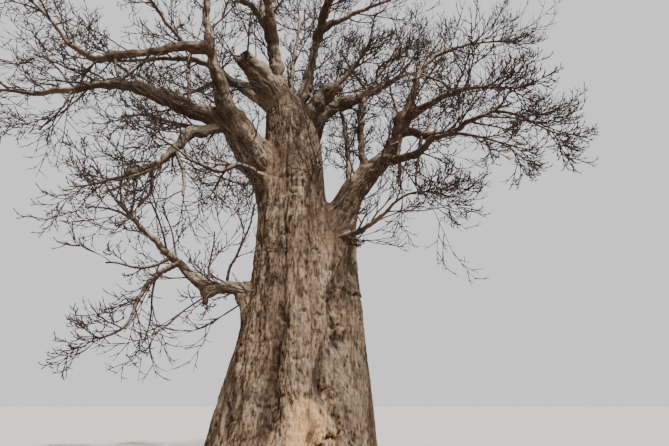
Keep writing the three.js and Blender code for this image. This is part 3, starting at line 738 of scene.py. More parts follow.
def grainOf(points):
    # for every point: its place across and along the nearest limb, that limb's radius, and
    # how clearly that limb is the nearest one
    far = 9.0
    facing, height, reach = facingAndReach(points)
    overTop = points[:, 2] > trunkTop + skinShape["overTop"]
    best = np.where(overTop, far, reach - trunkReach(facing, height))
    second = np.full(len(points), far)
    grain = points.copy()
    girth = np.minimum(reach, skinShape["mostGirth"])
    owner = np.zeros(len(points), int)
    for number, limb in enumerate(limbs.values(), 1):
        line, radii = limb["line"], limb["radii"]
        room = radii.max() + skinShape["search"]
        inRoom = ((points > line.min(0) - room) & (points < line.max(0) + room)).all(1)
        near = np.nonzero(inRoom)[0]
        if not len(near):
            continue
        way, side = carriedFrames(line)
        rows = np.arange(len(near))
        away = points[near][:, None] - line[None]
        gaps = np.linalg.norm(away, axis=2) - radii
        spot = gaps.argmin(1)
        least, away = gaps[rows, spot], away[rows, spot]
        forward = (away * way[spot]).sum(1)
        across = away - forward[:, None] * way[spot]
        lift = np.cross(way[spot], side[spot])
        own = np.stack([(across * side[spot]).sum(1), (across * lift).sum(1),
                        lengthAlong(line)[spot] + forward + number * skinShape["grainStep"]], 1)
        closer = least < best[near]
        second[near] = np.minimum(second[near], np.where(closer, best[near], least))
        taken = near[closer]
        best[taken] = least[closer]
        grain[taken] = own[closer]
        girth[taken] = radii[spot][closer]
        owner[taken] = number
    return grain, girth, smoothStep(second - best, 0.0, skinShape["crotch"]), owner


# Recesses, folds and pits of the trunk: facing and width in degrees, height and half height,
# how far it stands out, how it leans in degrees a metre, how much painted shade darkens it.
markShape = [
    (252, 11, 1.9, 1.3, -0.2, 3, 0.4), (327, 5, 4.2, 2.0, -0.13, 15, 0.45),
    (300, 5, 2.2, 0.6, -0.2, 8, 0.75), (309, 3.5, 1.2, 0.8, -0.14, -8, 0.6),
    (322, 7, 1.5, 1.2, 0.09, -5, 0), (322, 7, 3.0, 0.26, -0.13, 0, 0.75),
    (258, 2.5, 5.6, 1.2, -0.05, -3.5, 0.3), (201, 5, 5.8, 1.8, -0.12, 0, 0.5),
    (186, 9, 9.4, 0.2, -0.22, 0, 1.0), (297, 3.2, 0.93, 0.05, -0.1, 20, 1.0),
    (304, 6.5, 1.04, 0.045, -0.12, 0, 1.0), (311, 2.6, 1.15, 0.045, -0.08, 0, 0.9),
    (276, 1.3, 1.75, 0.07, -0.06, 0, 0.9), (274, 0.9, 1.55, 0.14, -0.05, 12, 0.9),
    (350, 24, 4.33, 0.035, 0.035, 0, 0), (348, 27, 4.25, 0.03, -0.035, 0, 0.8),
    (20, 14, 3.1, 0.3, 0.06, 0, 0), (218, 4, 1.4, 1.5, -0.07, -5, 0.35),
    (316, 11, 1.5, 1.2, -0.03, -7, 0.42), (344, 24, 6.4, 0.4, -0.07, 0, 0.36),
    (262, 8, 2.9, 0.8, -0.03, 0, 0.4),
    (231, 3, 1.5, 1.3, -0.05, -6, 0.3), (282, 8, 2.7, 0.1, 0.02, 0, 0),
    (280, 9, 2.55, 0.05, -0.02, 0, 0.5), (270, 6, 3.4, 0.6, 0.05, 0, 0),
    (268, 4, 7.2, 0.1, -0.06, 0, 0.7), (248, 8, 8.4, 0.1, 0.05, 0, 0),
    (292, 5, 6.3, 0.9, -0.06, 4, 0.3), (236, 6, 5.2, 1.6, 0.05, -3, 0),
    (62, 6, 2.2, 0.7, -0.2, 3, 0.7), (108, 3, 5.0, 1.6, -0.12, 3, 0.6),
    (142, 4, 1.8, 1.0, -0.16, 8, 0.55), (176, 6, 2.1, 0.8, -0.2, 0, 0.65),
    (88, 7, 7.6, 0.17, -0.14, 0, 0.9), (100, 22, 3.9, 0.2, 0.06, 0, 0),
    (100, 22, 3.7, 0.06, -0.08, 0, 0.6), (20, 4, 1.6, 1.1, -0.15, -7, 0.5),
    (48, 5, 5.2, 1.5, -0.08, 4, 0.4), (132, 5, 6.4, 1.2, -0.08, 0, 0.4),
]
patchShape = {"facing": 285, "width": 27, "height": 1.0, "tall": 1.0}
# Nothing on a trunk runs quite straight: how facings waver with height, and levels with facing.
waverShape = {
    "facing": [(1.8, 3.3, 0), (0.9, 8.9, 1)],
    "level": [(0.07, 0.13, 0), (0.04, 0.41, 0), (0.02, 1.9, 0), (0.012, 4.3, 1)],
    "edge": 2.6,    # how sharply a mark ends
}
# Limbs that have snapped off: how deep the hollow is in which each ends.
brokenShape = {
    "depths": {"bough_broken_stub": 0.4, "bough_front_stub": 0.16},
    "room": (0.2, 1.3),    # along the limb, and across as a share of its radius
    "rim": (0.86, 6),      # where the hollow ends, and how sharply
    # how dark the painted shade in each broken hollow is
    "paintedShadeStrength": 1.6,
    "torn": [(0.14, (9, 13, 7)), (0.07, (31, 43, 37))],    # size and rate of the splinters
}


def carveTrunk(points, owner):
    facing, height, _ = facingAndReach(points)
    onTrunk = owner == 0
    facing = facing + waves(height, 1, waverShape["facing"])
    level = height + waves(facing, 1, waverShape["level"])
    offset, paintedRecessShade = np.zeros(len(points)), np.zeros(len(points))
    for spot, width, middle, tall, depth, lean, shade in markShape:
        across = shortWay(facing - spot - lean * (level - middle)) / width
        mark = np.exp(-np.abs(across) ** waverShape["edge"]
                      - np.abs((level - middle) / tall) ** waverShape["edge"])
        offset += depth * mark
        # painted shade where the marks sink in
        paintedRecessShade = np.maximum(paintedRecessShade, shade * mark)
    across = shortWay(facing - patchShape["facing"]) / patchShape["width"]
    patch = np.exp(-across**2 - ((height - patchShape["height"]) / patchShape["tall"]) ** 2)
    angle = np.radians(facing)
    outward = np.stack([np.cos(angle), np.sin(angle), np.zeros(len(points))], 1)
    return points + outward * (offset * onTrunk)[:, None], paintedRecessShade * onTrunk, patch * onTrunk


def carveBrokenEnds(points, paintedRecessShade):
    (alongRoom, acrossRoom), (rim, sharpness) = brokenShape["room"], brokenShape["rim"]
    for name, depth in brokenShape["depths"].items():
        line, radii = limbs[name]["line"], limbs[name]["radii"]
        way = unit(line[-1] - line[-2])
        away = points - line[-1]
        forward = away @ way
        across = np.linalg.norm(away - forward[:, None] * way, axis=1) / radii[-1]
        near = (np.abs(forward) < alongRoom) & (across < acrossRoom)
        core = near * np.clip(1 - (across / rim) ** sharpness, 0, 1)
        torn = sum(size * np.abs(np.sin(points @ np.array(rate, float)))
                   for size, rate in brokenShape["torn"])
        points = points - way * (near * torn + core * depth)[:, None]
        # the broken hollow gets painted shade
        paintedRecessShade = np.maximum(paintedRecessShade, np.clip(core * brokenShape["paintedShadeStrength"], 0, 1))
    return points, paintedRecessShade


reliefShape = {
    "Flute depth": 0.23, "Flutes per metre": 1.9,
    "Fold depth": 0.035, "Folds per metre": 2.4,
    "Grain depth": 0.03, "Grain per metre": 9.0,
    "Knot depth": 0.02, "Knots per metre": 1.3,
    "Crack depth": 0.045, "Cracks per metre": 3.2,
    "Gnarl share": 1.1, "Gnarls per metre": 2.4,
}
# How each noise stretches the grain, and its detail, roughness and distortion.
reliefNoise = {
    "Flutes": ((1, 1, 0.13), 2, 0.5, 0.5), "Folds": ((0.35, 0.35, 2), 3, 0.55, 0.8),
    "Grain": ((1, 1, 0.18), 4, 0.6, 0.4), "Cracks": ((1, 1, 0.2), 2, 0.5, 1.2),
}


def reliefTree():
    tree, sizes = newTree("bark relief", reliefShape)
    grain = told(tree, "grain", "FLOAT_VECTOR")
    girth, calm = told(tree, "girth"), told(tree, "calm")

    def centred(value):
        return mathNode(tree, "SUBTRACT", value, 0.5)

    def noise(name):
        stretch, *settings = reliefNoise[name]
        return centred(noiseNode(tree, stretched(tree, grain, stretch),
                                 sizes[name + " per metre"], *settings))

    cracks = spread(tree, mathNode(tree, "ABSOLUTE", noise("Cracks")), 0.0, 0.045, -1.0, 0.0)
    foldPlaces = spread(tree, noiseNode(tree, grain, 0.7, 2.0), 0.46, 0.6)
    cells = addNode(tree, "ShaderNodeTexVoronoi", {
        "Vector": grain, "Scale": sizes["Knots per metre"]}, feature="SMOOTH_F1").outputs[0]
    knots = mathNode(tree, "SUBTRACT", 0.5, spread(tree, cells, 0.05, 0.32))
    total = plus(tree, times(tree, noise("Flutes"), sizes["Flute depth"]),
                 times(tree, cracks, sizes["Crack depth"]),
                 times(tree, noise("Folds"), foldPlaces, sizes["Fold depth"], 2.0),
                 times(tree, noise("Grain"), sizes["Grain depth"], 2.0),
                 times(tree, knots, sizes["Knot depth"], 1.2))
    strength = times(tree, calm, spread(tree, girth, 0.03, 0.6, 0.16, 1.0))
    # slender boughs are gnarled instead
    place = addNode(tree, "GeometryNodeInputPosition").outputs[0]
    gnarls = centred(noiseNode(tree, place, sizes["Gnarls per metre"], 3.0))
    swelling = times(tree, gnarls, girth, spread(tree, girth, 0.36, 0.22), calm,
                     sizes["Gnarl share"])
    move = plus(tree, times(tree, total, strength), swelling)
    normal = addNode(tree, "GeometryNodeInputNormal").outputs[0]
    offset = addNode(tree, "ShaderNodeVectorMath", {0: normal, "Scale": move},
                     operation="SCALE").outputs[0]
    stored = addNode(tree, "GeometryNodeStoreNamedAttribute", {
        "Geometry": tree.nodes["Group Input"].outputs["Geometry"], "Name": "relief",
        "Value": total}, data_type="FLOAT", domain="POINT").outputs[0]
    moved = addNode(tree, "GeometryNodeSetPosition", {"Geometry": stored, "Offset": offset})
    endTree(tree, moved.outputs[0], sizes["Material"])
    return tree


def cutFoot(work):
    # flat at the ground
    cut = bmesh.ops.bisect_plane(work, geom=work.verts[:] + work.edges[:] + work.faces[:],
                                 plane_co=(0, 0, 0), plane_no=(0, 0, -1), clear_outer=True)
    rim = [item for item in cut["geom_cut"] if isinstance(item, bmesh.types.BMEdge)]
    bmesh.ops.triangle_fill(work, edges=rim, use_beauty=True, normal=(0, 0, -1))


def makeWood(shapes, tree, material):
    # the whole fused surface of the trunk and the thick boughs
    wood = fuse(shapes)
    calm = grainOf(pointsOf(wood.data))[2]
    smoothSkin(wood, np.ones(len(calm)), skinShape["smoothing"])
    smoothSkin(wood, 1 - calm, skinShape["crotchSmoothing"])
    for x, y, z, room in elbowShape:
        away = np.linalg.norm(pointsOf(wood.data) - (x, y, z), axis=1)
        smoothSkin(wood, smoothStep(away, room, room * skinShape["elbowCore"]),
                   skinShape["elbowSmoothing"])
    points = pointsOf(wood.data)
    grain, girth, calm, owner = grainOf(points)
    girth = spreadOut(wood.data, girth, skinShape["blending"])
    points, paintedRecessShade, patch = carveTrunk(points, owner)
    points, paintedRecessShade = carveBrokenEnds(points, paintedRecessShade)
    setPoints(wood.data, points)
    for label, values in (("girth", girth), ("calm", calm), ("paintedHollowShade", paintedRecessShade),
                          ("patch", patch), ("piece", pieceOf(points, grain, owner))):
        setValues(wood.data, label, values)
    setValues(wood.data, "grain", grain, "FLOAT_VECTOR")
    useTree(wood, tree, reliefShape, material)
    wood.data.polygons.foreach_set("use_smooth", [True] * len(wood.data.polygons))
    return wood


def pieceOf(points, grain, owner):
    # 0 for the trunk's foot, 1 for the rest of it with the roots of its boughs, 2 for the left
    # boughs, 3 for the others
    piece = np.where(points[:, 2] < skinShape["footTop"], 0, 1)
    for number, (name, limb) in enumerate(limbs.items(), 1):
        mine = owner == number
        _, out = outsideTrunk(limb["line"])
        own = grain[mine, 2] - number * skinShape["grainStep"]
        beyond = (limb["parent"] != "trunk") | (own > out + skinShape["collar"])
        piece[mine] = np.where(beyond, 2 if sideOf[name] == "left" else 3, 1)
    return piece


def splitWood(wood, names):
    # one closed piece for each part of the surface, which keeps the shading of the whole
    count = len(wood.data.vertices)
    normals = np.empty(count * 3, np.float32)
    wood.data.vertices.foreach_get("normal", normals)
    setValues(wood.data, "shading", normals, "FLOAT_VECTOR")
    part = np.empty(count, np.float32)
    wood.data.attributes["piece"].data.foreach_get("value", part)
    pieces = []
    for number, name in enumerate(names):
        work = bmesh.new()
        work.from_mesh(wood.data)
        work.verts.ensure_lookup_table()
        away = [face for face in work.faces
                if round(sum(part[corner.index] for corner in face.verts)
                         / len(face.verts)) != number]
        bmesh.ops.delete(work, geom=away, context="FACES")
        rims = [edge for edge in work.edges if edge.is_boundary]
        bmesh.ops.holes_fill(work, edges=rims, sides=0)
        if number == 0:
            cutFoot(work)
        mesh = bpy.data.meshes.new(name)
        work.to_mesh(mesh)
        work.free()
        mesh.materials.append(wood.data.materials[0])
        kept = np.empty(len(mesh.vertices) * 3, np.float32)
        mesh.attributes["shading"].data.foreach_get("vector", kept)
        mesh.normals_split_custom_set_from_vertices(kept.reshape(-1, 3).tolist())
        mesh.attributes.remove(mesh.attributes["shading"])
        piece = bpy.data.objects.new(name, mesh)
        bpy.context.scene.collection.objects.link(piece)
        tellTriangles(piece)
        pieces.append(piece)
    bpy.data.objects.remove(wood)
    return pieces


# Twigs: the branching rule of the masses, carried on to finer twigs

# Order by order, first the twigs of the source's rule and then finer or longer ones that sweep
# along with what bears them: how many, where along the bearer they start and end, turn in
# degrees, length and radius as shares of the bearer's, least radius, bends, waviness, upward
# turn, how far the tip curls up, how much a twig follows its bearer, and points tested.
twigColumns = ("count", "first", "last", "turn", "length", "girth", "least", "steps", "wave",
               "lift", "curl", "follow", "samples")
twigRows = [
    [(5, 0.14, 0.97, 52, 0.56, 0.62, 0.013, 4, 0.34, 0.07, 0, 0, 6),
     (4, 0.4, 1.02, 27, 0.62, 0.62, 0.013, 4, 0.26, 0.04, 0.14, 0, 6)],
    [(3, 0.14, 0.96, 44, 0.58, 0.62, 0.011, 4, 0.4, 0.05, 0, 0, 4),
     (4, 0.25, 1.02, 36, 0.6, 0.7, 0.011, 4, 0.24, 0.05, 0.14, 0.1, 4)],
    [(4, 0.2, 1.02, 42, 0.5, 0.8, 0.012, 3, 0.3, 0.1, 0.16, 0.12, 2)],
    [(1, 0.6, 0.6, 46, 0.6, 0.85, 0.0105, 2, 0.34, 0.16, 0.16, 0.1, 1)],
]
twigRule = [[dict(zip(twigColumns, row)) for row in rows] for rows in twigRows]
# How much chance there is in where a twig stands, its turns in degrees and its length.
scatter = {"place": 0.6, "round": 60, "turn": 24, "length": 0.4}
twigShape = {
    "rootLength": 1.25,    # twigs near the root are longer and stouter than those near the tip
    "shortening": 0.6,
    "thinning": 0.6,
    "clearance": 0.04,
    "goldenTurn": 137.5,
    "overlap": 0.6,        # how far a mass may run into its neighbour's space
    "headroom": (0.42, 0.36, 0.45),    # how far twigs may pass the solids' box
    "lowest": 0.6,
    "stoutest": 0.026,     # twigs above this radius get rounder tubes
    "fineSides": 3,
    "stoutSides": 7,
    "tip": 0.45,
    "stemTip": 0.2,
    "flare": 1.3,
    "perPiece": 190000,
    "shortest": 1.8,       # twigs of a short mass are as long as if its stem had this length
    "open": {"twigs_low_left": 0.45, "twigs_left_fork": 0.55, "twigs_small_left": 0.55,
             "twigs_low_left_hanging": 0.6, "twigs_back_left": 0.7},
}
drawSeries = {"factor": 1664525, "added": 1013904223, "size": 2**32}
seedSeries = {"factor": 69069, "added": 362437}
wordMask = np.uint64(drawSeries["size"] - 1)


def drawsFrom(seed):
    state = seed.copy()

    def draw():
        nonlocal state
        state = (state * np.uint64(drawSeries["factor"])
                 + np.uint64(drawSeries["added"])) & wordMask
        return state.astype(float) / drawSeries["size"]
    return draw


def sideSeed(seed, index):
    return (seed * np.uint64(seedSeries["factor"])
            + np.uint64((index + 1) * seedSeries["added"])) & wordMask


def distanceToLines(points, lines):
    # least distance of every point to every line of spans
    best = np.full((len(points), len(lines)), 1e9)
    for span in range(lines.shape[1] - 1):
        start, run = lines[:, span], lines[:, span + 1] - lines[:, span]
        away = points[:, None] - start[None]
        share = (away * run).sum(2) / np.maximum((run**2).sum(1), 1e-9)
        away -= np.clip(share, 0, 1)[..., None] * run
        best = np.minimum(best, np.linalg.norm(away, axis=2))
    return best


stemLines = np.array([stem["line"] for stem in stems])
limbFine = np.array([limb["line"][::2] for limb in limbs.values()])
limbFineRadii = np.array([limb["radii"][::2] for limb in limbs.values()])


def clearOfWood(points, radius):
    clear = np.ones(len(points), bool)
    for number in range(len(limbFine)):
        away = np.linalg.norm(points[:, None] - limbFine[number][None], axis=2)
        room = limbFineRadii[number] + radius[:, None] + twigShape["clearance"]
        clear &= (away > room).all(1)
    facing, height, reach = facingAndReach(points)
    outside = reach > trunkReach(facing, height) + radius + twigShape["clearance"]
    outside |= points[:, 2] > trunkTop
    room = np.array(twigShape["headroom"])
    low, high = np.array(cadBox[0]) - room, np.array(cadBox[1]) + room
    inBox = ((points > low) & (points < high)).all(1)
    return clear & outside & inBox & (points[:, 2] > twigShape["lowest"])


def isClear(points, radius, stem):
    far = distanceToLines(points, stemLines)
    rows = np.arange(len(points))
    own = far[rows, stem]
    far[rows, stem] = 1e9
    mine = far.min(1) >= own - twigShape["overlap"]
    return mine & clearOfWood(points, radius)


def linesAreClear(lines, radius, stem, samples):
    clear = np.ones(len(lines), bool)
    for share in np.linspace(0, 1, samples + 1)[1:]:
        left = np.nonzero(clear)[0]
        if len(left):
            point = placeOn(lines[left], np.full(len(left), share))[0]
            clear[left] = (clearOfWood(point, radius[left]) if stem is None
                           else isClear(point, radius[left], stem[left]))
    return clear


def only(block, rows):
    # the same lists with only some of their rows
    return {key: values[rows] for key, values in block.items()}


def twigLines(start, way, length, rule, draw, bearerWay):
    points, ahead = [start], way
    for step in range(rule["steps"]):
        swerve = np.stack([draw() - 0.5, draw() - 0.5, draw() - 0.5], 1) * rule["wave"]
        rise = rule["curl"] * (2 * (step + 0.5) / rule["steps"] - 1)
        swerve[:, 2] += rule["lift"] + rise
        ahead = unit(ahead + swerve + rule["follow"] * bearerWay)
        points.append(points[-1] + ahead * (length / rule["steps"])[:, None])
    return np.stack(points, 1)


def sideTwigs(bearers, rules):
    size, made, index = twigShape, [], 0
    for rule in rules:
        for slot in range(rule["count"]):
            seed, stem = sideSeed(bearers["seed"], index), bearers["stem"]
            draw = drawsFrom(seed)
            share = (rule["first"] + (rule["last"] - rule["first"])
                     * (slot + scatter["place"] * draw()) / rule["count"])
            share = np.minimum(share, 1.0)
            point, way = placeOn(bearers["line"], share)
            turned = np.radians(index * size["goldenTurn"] + scatter["round"] * draw())[:, None]
            turn = np.radians(rule["turn"] + scatter["turn"] * (draw() - 0.5))[:, None]
            ahead = way * np.cos(turn) + aside(way, turned) * np.sin(turn)
            length = (bearers["length"] * rule["length"]
                      * (size["rootLength"] - size["shortening"] * share)
                      * (1 - scatter["length"] / 2 + scatter["length"] * draw()))
            radius = np.maximum(bearers["radius"] * rule["girth"] * (1 - size["thinning"] * share),
                                rule["least"])
            line = twigLines(point, ahead, length, rule, draw, way)
            clear = linesAreClear(line, radius, stem, rule["samples"])
            made.append(only({"line": line, "length": length, "radius": radius, "seed": seed,
                              "stem": stem}, clear))
            index += 1
    grown = {key: np.concatenate([part[key] for part in made]) for key in made[0]}
    if rules is twigRule[0]:
        grown["line"] = smoothLines(grown["line"], 2)
    return grown


shootShape = {
    "spacing": 0.28,
    "first": {True: 0.25, False: 0.12},    # share where a trunk's limb, or another, bears its first
    "scatter": 0.06,
    "within": (0.05, 0.98),
    "length": 1.75,
    "lengths": (0.3, 1.1, 1.5),    # the least length, what chance adds and how seldom
    "outer": (0.7, 0.45),          # shoots are longer further out
    "radius": 0.026,
    "radii": (0.7, 0.6),
    "stoutest": 0.5,               # share of the bearer's radius
    "rooted": 0.6,
    "forward": 0.95,
    "up": 0.1,
    "samples": 4,
    "seed": 501,
    "seedStep": 7919,
    "rule": {"steps": 7, "wave": 0.26, "lift": 0.02, "curl": 0.13, "follow": 0.05},
}


def shootBearers():
    # long shoots sweep out along the outer part of every limb and arm
    size, bearing, rows = shootShape, [*limbs.values(), *arms.values()], []
    for number, limb in enumerate(bearing):
        first = size["first"][limb["parent"] == "trunk"]
        steps = max(int(limb["length"] * (1 - first) / size["spacing"]), 2)
        for step in range(steps):
            rows.append((number, first + (1 - first) * (step + 0.5) / steps))
    number = np.array([row[0] for row in rows])
    seed = (np.arange(len(rows), dtype=np.uint64) * np.uint64(size["seedStep"])
            + np.uint64(size["seed"])) & wordMask
    draw = drawsFrom(seed)
    draw()
    share = np.clip(np.array([row[1] for row in rows]) + size["scatter"] * (draw() - 0.5),
                    *size["within"])
    lines = np.array([limb["line"] for limb in bearing])[number]
    girths = np.array([limb["radii"] for limb in bearing])[number]
    point, way = placeOn(lines, share)
    thick = girths[np.arange(len(rows)), (share * (girths.shape[1] - 1)).astype(int)]
    outward = aside(way, np.radians(360 * draw())[:, None])
    ahead = unit(outward + way * size["forward"] + np.array([0, 0, size["up"]]))
    least, more, power = size["lengths"]
    length = (size["length"] * (least + more * draw() ** power)
              * (size["outer"][0] + size["outer"][1] * share))
    radius = np.minimum(size["radius"] * (size["radii"][0] + size["radii"][1] * draw()),
                        size["stoutest"] * thick)
    start = point + ahead * (thick * size["rooted"])[:, None]
    line = twigLines(start, ahead, length, size["rule"], draw, way)
    clear = linesAreClear(line[:, 2:], radius, None, size["samples"])
    nearest = distanceToLines(line[:, -1], stemLines).argmin(1)
    return only({"line": line, "length": length, "radius": radius, "seed": seed,
                 "stem": nearest}, clear)


def growTwigs():
    bearers = {
        "line": smoothLines(stemLines, 3),
        "length": np.array([max(stem["length"], twigShape["shortest"]) for stem in stems]),
        "radius": np.array([stem["radius"] for stem in stems]),
        "seed": np.array([stem["seed"] for stem in stems], np.uint64),
        "stem": np.arange(len(stems)),
    }
    orders = [bearers]
    for order, rules in enumerate(twigRule):
        bearers = sideTwigs(bearers, rules)
        if order == 0:
            # some masses stay open, with part of their side twigs
            share = np.array([twigShape["open"].get(stem["name"], 1.0) for stem in stems])
            bearers = only(bearers, drawsFrom(bearers["seed"])() < share[bearers["stem"]])
        orders.append(bearers)
        print("order", order + 1, "has", len(bearers["length"]), "twigs")
    shoots = shootBearers()
    print("limbs bear", len(shoots["length"]), "side shoots")
    orders.append(shoots)
    bearers = shoots    # and these bear finer ones by the later rules
    for rules in twigRule[1:]:
        bearers = sideTwigs(bearers, rules[-1:])
        orders.append(bearers)
        print("shoots bear", len(bearers["length"]), "twigs")
    return orders


def tubeTree():
    tree, sizes = newTree("twig tubes", {"Sides": 3, "Thickness": 1.0})
    curve = addNode(tree, "GeometryNodeMeshToCurve",
                    {"Mesh": tree.nodes["Group Input"].outputs["Geometry"]})
    profile = addNode(tree, "GeometryNodeCurvePrimitiveCircle", {
        "Resolution": sizes["Sides"], "Radius": 1.0})
    tubes = addNode(tree, "GeometryNodeCurveToMesh", {
        "Curve": curve.outputs[0], "Profile Curve": profile.outputs[0],
        "Scale": times(tree, told(tree, "girth"), sizes["Thickness"]), "Fill Caps": True})
    smooth = addNode(tree, "GeometryNodeSetShadeSmooth", {"Geometry": tubes.outputs[0]})
    endTree(tree, smooth.outputs[0], sizes["Material"])
    return tree


def lineBlock(block, tip):
    # every line of a block as points with radii, joined by edges
    count, length = block["line"].shape[:2]
    points = block["line"].reshape(-1, 3)
    taper = np.linspace(1, tip, length)
    taper[0] *= twigShape["flare"]
    radii = (block["radius"][:, None] * taper[None]).ravel()
    index = np.arange(count * length).reshape(count, length)
    edges = np.stack([index[:, :-1].ravel(), index[:, 1:].ravel()], 1)
    return points, radii, edges


def tubePiece(name, blocks, sides, tree, material):
    points, radii, edges, offset = [], [], [], 0
    for blockPoints, blockRadii, blockEdges in blocks:
        points.append(blockPoints)
        radii.append(blockRadii)
        edges.append(blockEdges + offset)
        offset += len(blockPoints)
    piece = newPiece(name, np.vstack(points), np.vstack(edges).tolist())
    setValues(piece.data, "girth", np.concatenate(radii))
    useTree(piece, tree, {"Sides": sides, "Thickness": 1.0}, material)
    tellTriangles(piece)
    return piece


def thinEnds():
    # the outer part of every limb, below the girth that the skins take
    blocks = []
    for number, limb in enumerate(list(limbs.values()) + list(arms.values())):
        radii, line = limb["radii"], crooked(limb, number)
        thin = radii < skinShape["thinnest"] + skinShape["meeting"]
        if thin[-1]:
            first = max(np.argmax(thin) - 2, 0)
            count = len(line) - first
            edges = np.stack([np.arange(count - 1), np.arange(1, count)], 1)
            uneven = 1 + waves(np.arange(count), len(blocks), waveShape["thinGirth"])
            blocks.append((line[first:], radii[first:] * uneven, edges))
    return blocks


# Finishes

def newMaterial(name):
    material = bpy.data.materials.new(name)
    material.use_nodes = True
    tree = material.node_tree
    return material, tree, tree.nodes["Principled BSDF"].inputs


def colourRamp(tree, value, stops):
    node = addNode(tree, "ShaderNodeValToRGB", {0: value})
    elements = node.color_ramp.elements
    for place, (position, colour) in enumerate(stops):
        element = elements[place] if place < 2 else elements.new(position)
        element.position = position
        element.color = (*colour, 1)
    return node.outputs[0]


def mixColour(tree, factor, *colours):
    first, second = [(*colour, 1) if isinstance(colour, tuple) else colour for colour in colours]
    return addNode(tree, "ShaderNodeMix", {0: factor, 6: first, 7: second},
                   data_type="RGBA").outputs[2]


def attribute(tree, name, vector=False):
    node = addNode(tree, "ShaderNodeAttribute", attribute_name=name)
    return node.outputs["Vector" if vector else "Fac"]


barkColours = {
    "deep": (0.01, 0.006, 0.004), "shade": (0.055, 0.03, 0.018), "grey": (0.16, 0.105, 0.07),
    "tan": (0.27, 0.175, 0.112), "pale": (0.56, 0.415, 0.3), "patch": (0.78, 0.47, 0.24),
    # the dust tone is pale dust and also painted highlight on the sunny side
    "dustAndPaintedHighlight": (0.56, 0.46, 0.36), "under": (0.055, 0.024, 0.012), "bough": (0.075, 0.041, 0.025),
# the under tone is painted shade for undersides
}
# How each noise stretches the grain, and its scale, detail, roughness and distortion.
barkNoise = {
    "streaks": ((1, 1, 0.13), 9.5, 6, 0.66, 0.3), "threads": ((1, 1, 0.16), 24, 5, 0.66, 0.6),
    "scales": ((1, 1, 0.6), 17, 8, 0.68, 0.5), "torn": ((1, 1, 0.4), 3.4, 6, 0.6, 0.5),
}
# the sun's side, from which bark and twigs get painted highlight and painted shade
paintedLightWay = (0.3, -0.42, 0.86)


def paintedLightFacing(tree):
    # how far the surface faces the sun's side: there the bark is painted paler, as painted
    # highlight with some dust, and where it faces away it gets painted shade
    normal = addNode(tree, "ShaderNodeNewGeometry").outputs["Normal"]
    return addNode(tree, "ShaderNodeVectorMath", {0: normal, 1: paintedLightWay},
                   operation="DOT_PRODUCT").outputs["Value"]


def barkMaterial():
    material, tree, shader = newMaterial("baobab bark")
    c = barkColours
    place = addNode(tree, "ShaderNodeTexCoord").outputs["Object"]
    grain = attribute(tree, "grain", vector=True)
    tones = noiseNode(tree, place, 0.75, 5.0, 0.6, 0.4)
    streaks, threads, scales, torn = [noiseNode(tree, stretched(tree, grain, stretch), *settings)
                                      for stretch, *settings in barkNoise.values()]
    slender = spread(tree, attribute(tree, "girth"), 0.62, 0.3)
    # the grain loses its way where limbs meet
    plain = spread(tree, attribute(tree, "calm"), 0.15, 0.8, 0.25, 1.0)
    # slender boughs on the left of the crown get more painted highlight, and those on the right
    # more painted shade
    acrossCrown = addNode(tree, "ShaderNodeSeparateXYZ", {0: place}).outputs[0]
    paintedLightSide = plus(tree, paintedLightFacing(tree),
                 times(tree, slender, spread(tree, acrossCrown, -0.6, 1.6, 0.55, -0.12)))
    # how strongly the pale dust and painted highlight show
    dustAndHighlightStrength = times(tree, spread(tree, slender, 0.0, 1.0, 0.45, 1.0),
                      spread(tree, plain, 0.4, 1.0, 0.1, 1.0))
    patchEdge = times(tree, attribute(tree, "patch"), spread(tree, scales, 0.62, 0.4, 0.5, 1.0),
                      spread(tree, torn, 0.36, 0.56, 0.25, 1.0))
    # each tone lies over the ones before it
    layers = [
        ("bough", times(tree, slender, spread(tree, tones, 0.66, 0.44, 0.3, 0.9))),
        ("pale", times(tree, spread(tree, threads, 0.47, 0.3, 0.0, 0.7), plain,
                       spread(tree, slender, 0.0, 1.0, 1.0, 0.5))),
        ("shade", times(tree, plain, spread(tree, streaks, 0.49, 0.63, 0.0, 0.85))),
        ("deep", times(tree, plain, spread(tree, threads, 0.51, 0.59, 0.0, 0.95))),
        ("deep", spread(tree, scales, 0.54, 0.64, 0.0, 0.9)),
        # pale dust, and painted highlight where the bark faces the sun
        ("dustAndPaintedHighlight", times(tree, spread(tree, scales, 0.66, 0.4, 0.35, 1.0), dustAndHighlightStrength,
                       spread(tree, paintedLightSide, 0.35, 0.9, 0.0, 0.9))),
        # painted shade on undersides and on sides that face away from the sun
        ("under", times(tree, spread(tree, paintedLightSide, 0.15, -0.5),
                        spread(tree, slender, 0.0, 1.0, 0.45, 0.9))),
        ("patch", spread(tree, patchEdge, 0.2, 0.62, 0.0, 0.92)),
        # painted shade in the grooves and cracks of the relief
        ("shade", spread(tree, attribute(tree, "relief"), -0.005, -0.06, 0.0, 0.85)),
        # painted shade in the trunk's recesses and in the broken hollows
        ("deep", spread(tree, attribute(tree, "paintedHollowShade"), 0.2, 0.8, 0.0, 0.9)),
    ]
    colour = colourRamp(tree, tones, [(0.3, c["grey"]), (0.72, c["pale"]), (0.52, c["tan"])])
    for tone, share in layers:
        colour = mixColour(tree, share, colour, c[tone])
    tree.links.new(colour, shader["Base Color"])
    tree.links.new(spread(tree, scales, 0.3, 0.7, 0.78, 0.95), shader["Roughness"])
    shader["Specular IOR Level"].default_value = 0.2
    rough = plus(tree, times(tree, streaks, -0.5), times(tree, scales, -0.65),
                 times(tree, threads, -0.75))
    bump = addNode(tree, "ShaderNodeBump", {"Height": rough, "Strength": 1.0, "Distance": 0.07})
    tree.links.new(bump.outputs[0], shader["Normal"])
    return material


twigColours = {
    "thin": (0.02, 0.0095, 0.007), "thinPale": (0.07, 0.038, 0.03), "stout": (0.1, 0.06, 0.04),
    # the pale tone is a painted highlight for twigs that face the sun
    "stoutDark": (0.03, 0.015, 0.01), "paintedTwigHighlight": (0.42, 0.33, 0.25),
}
twigAges = (0.012, 0.05)    # radius of a young twig and of a stout one


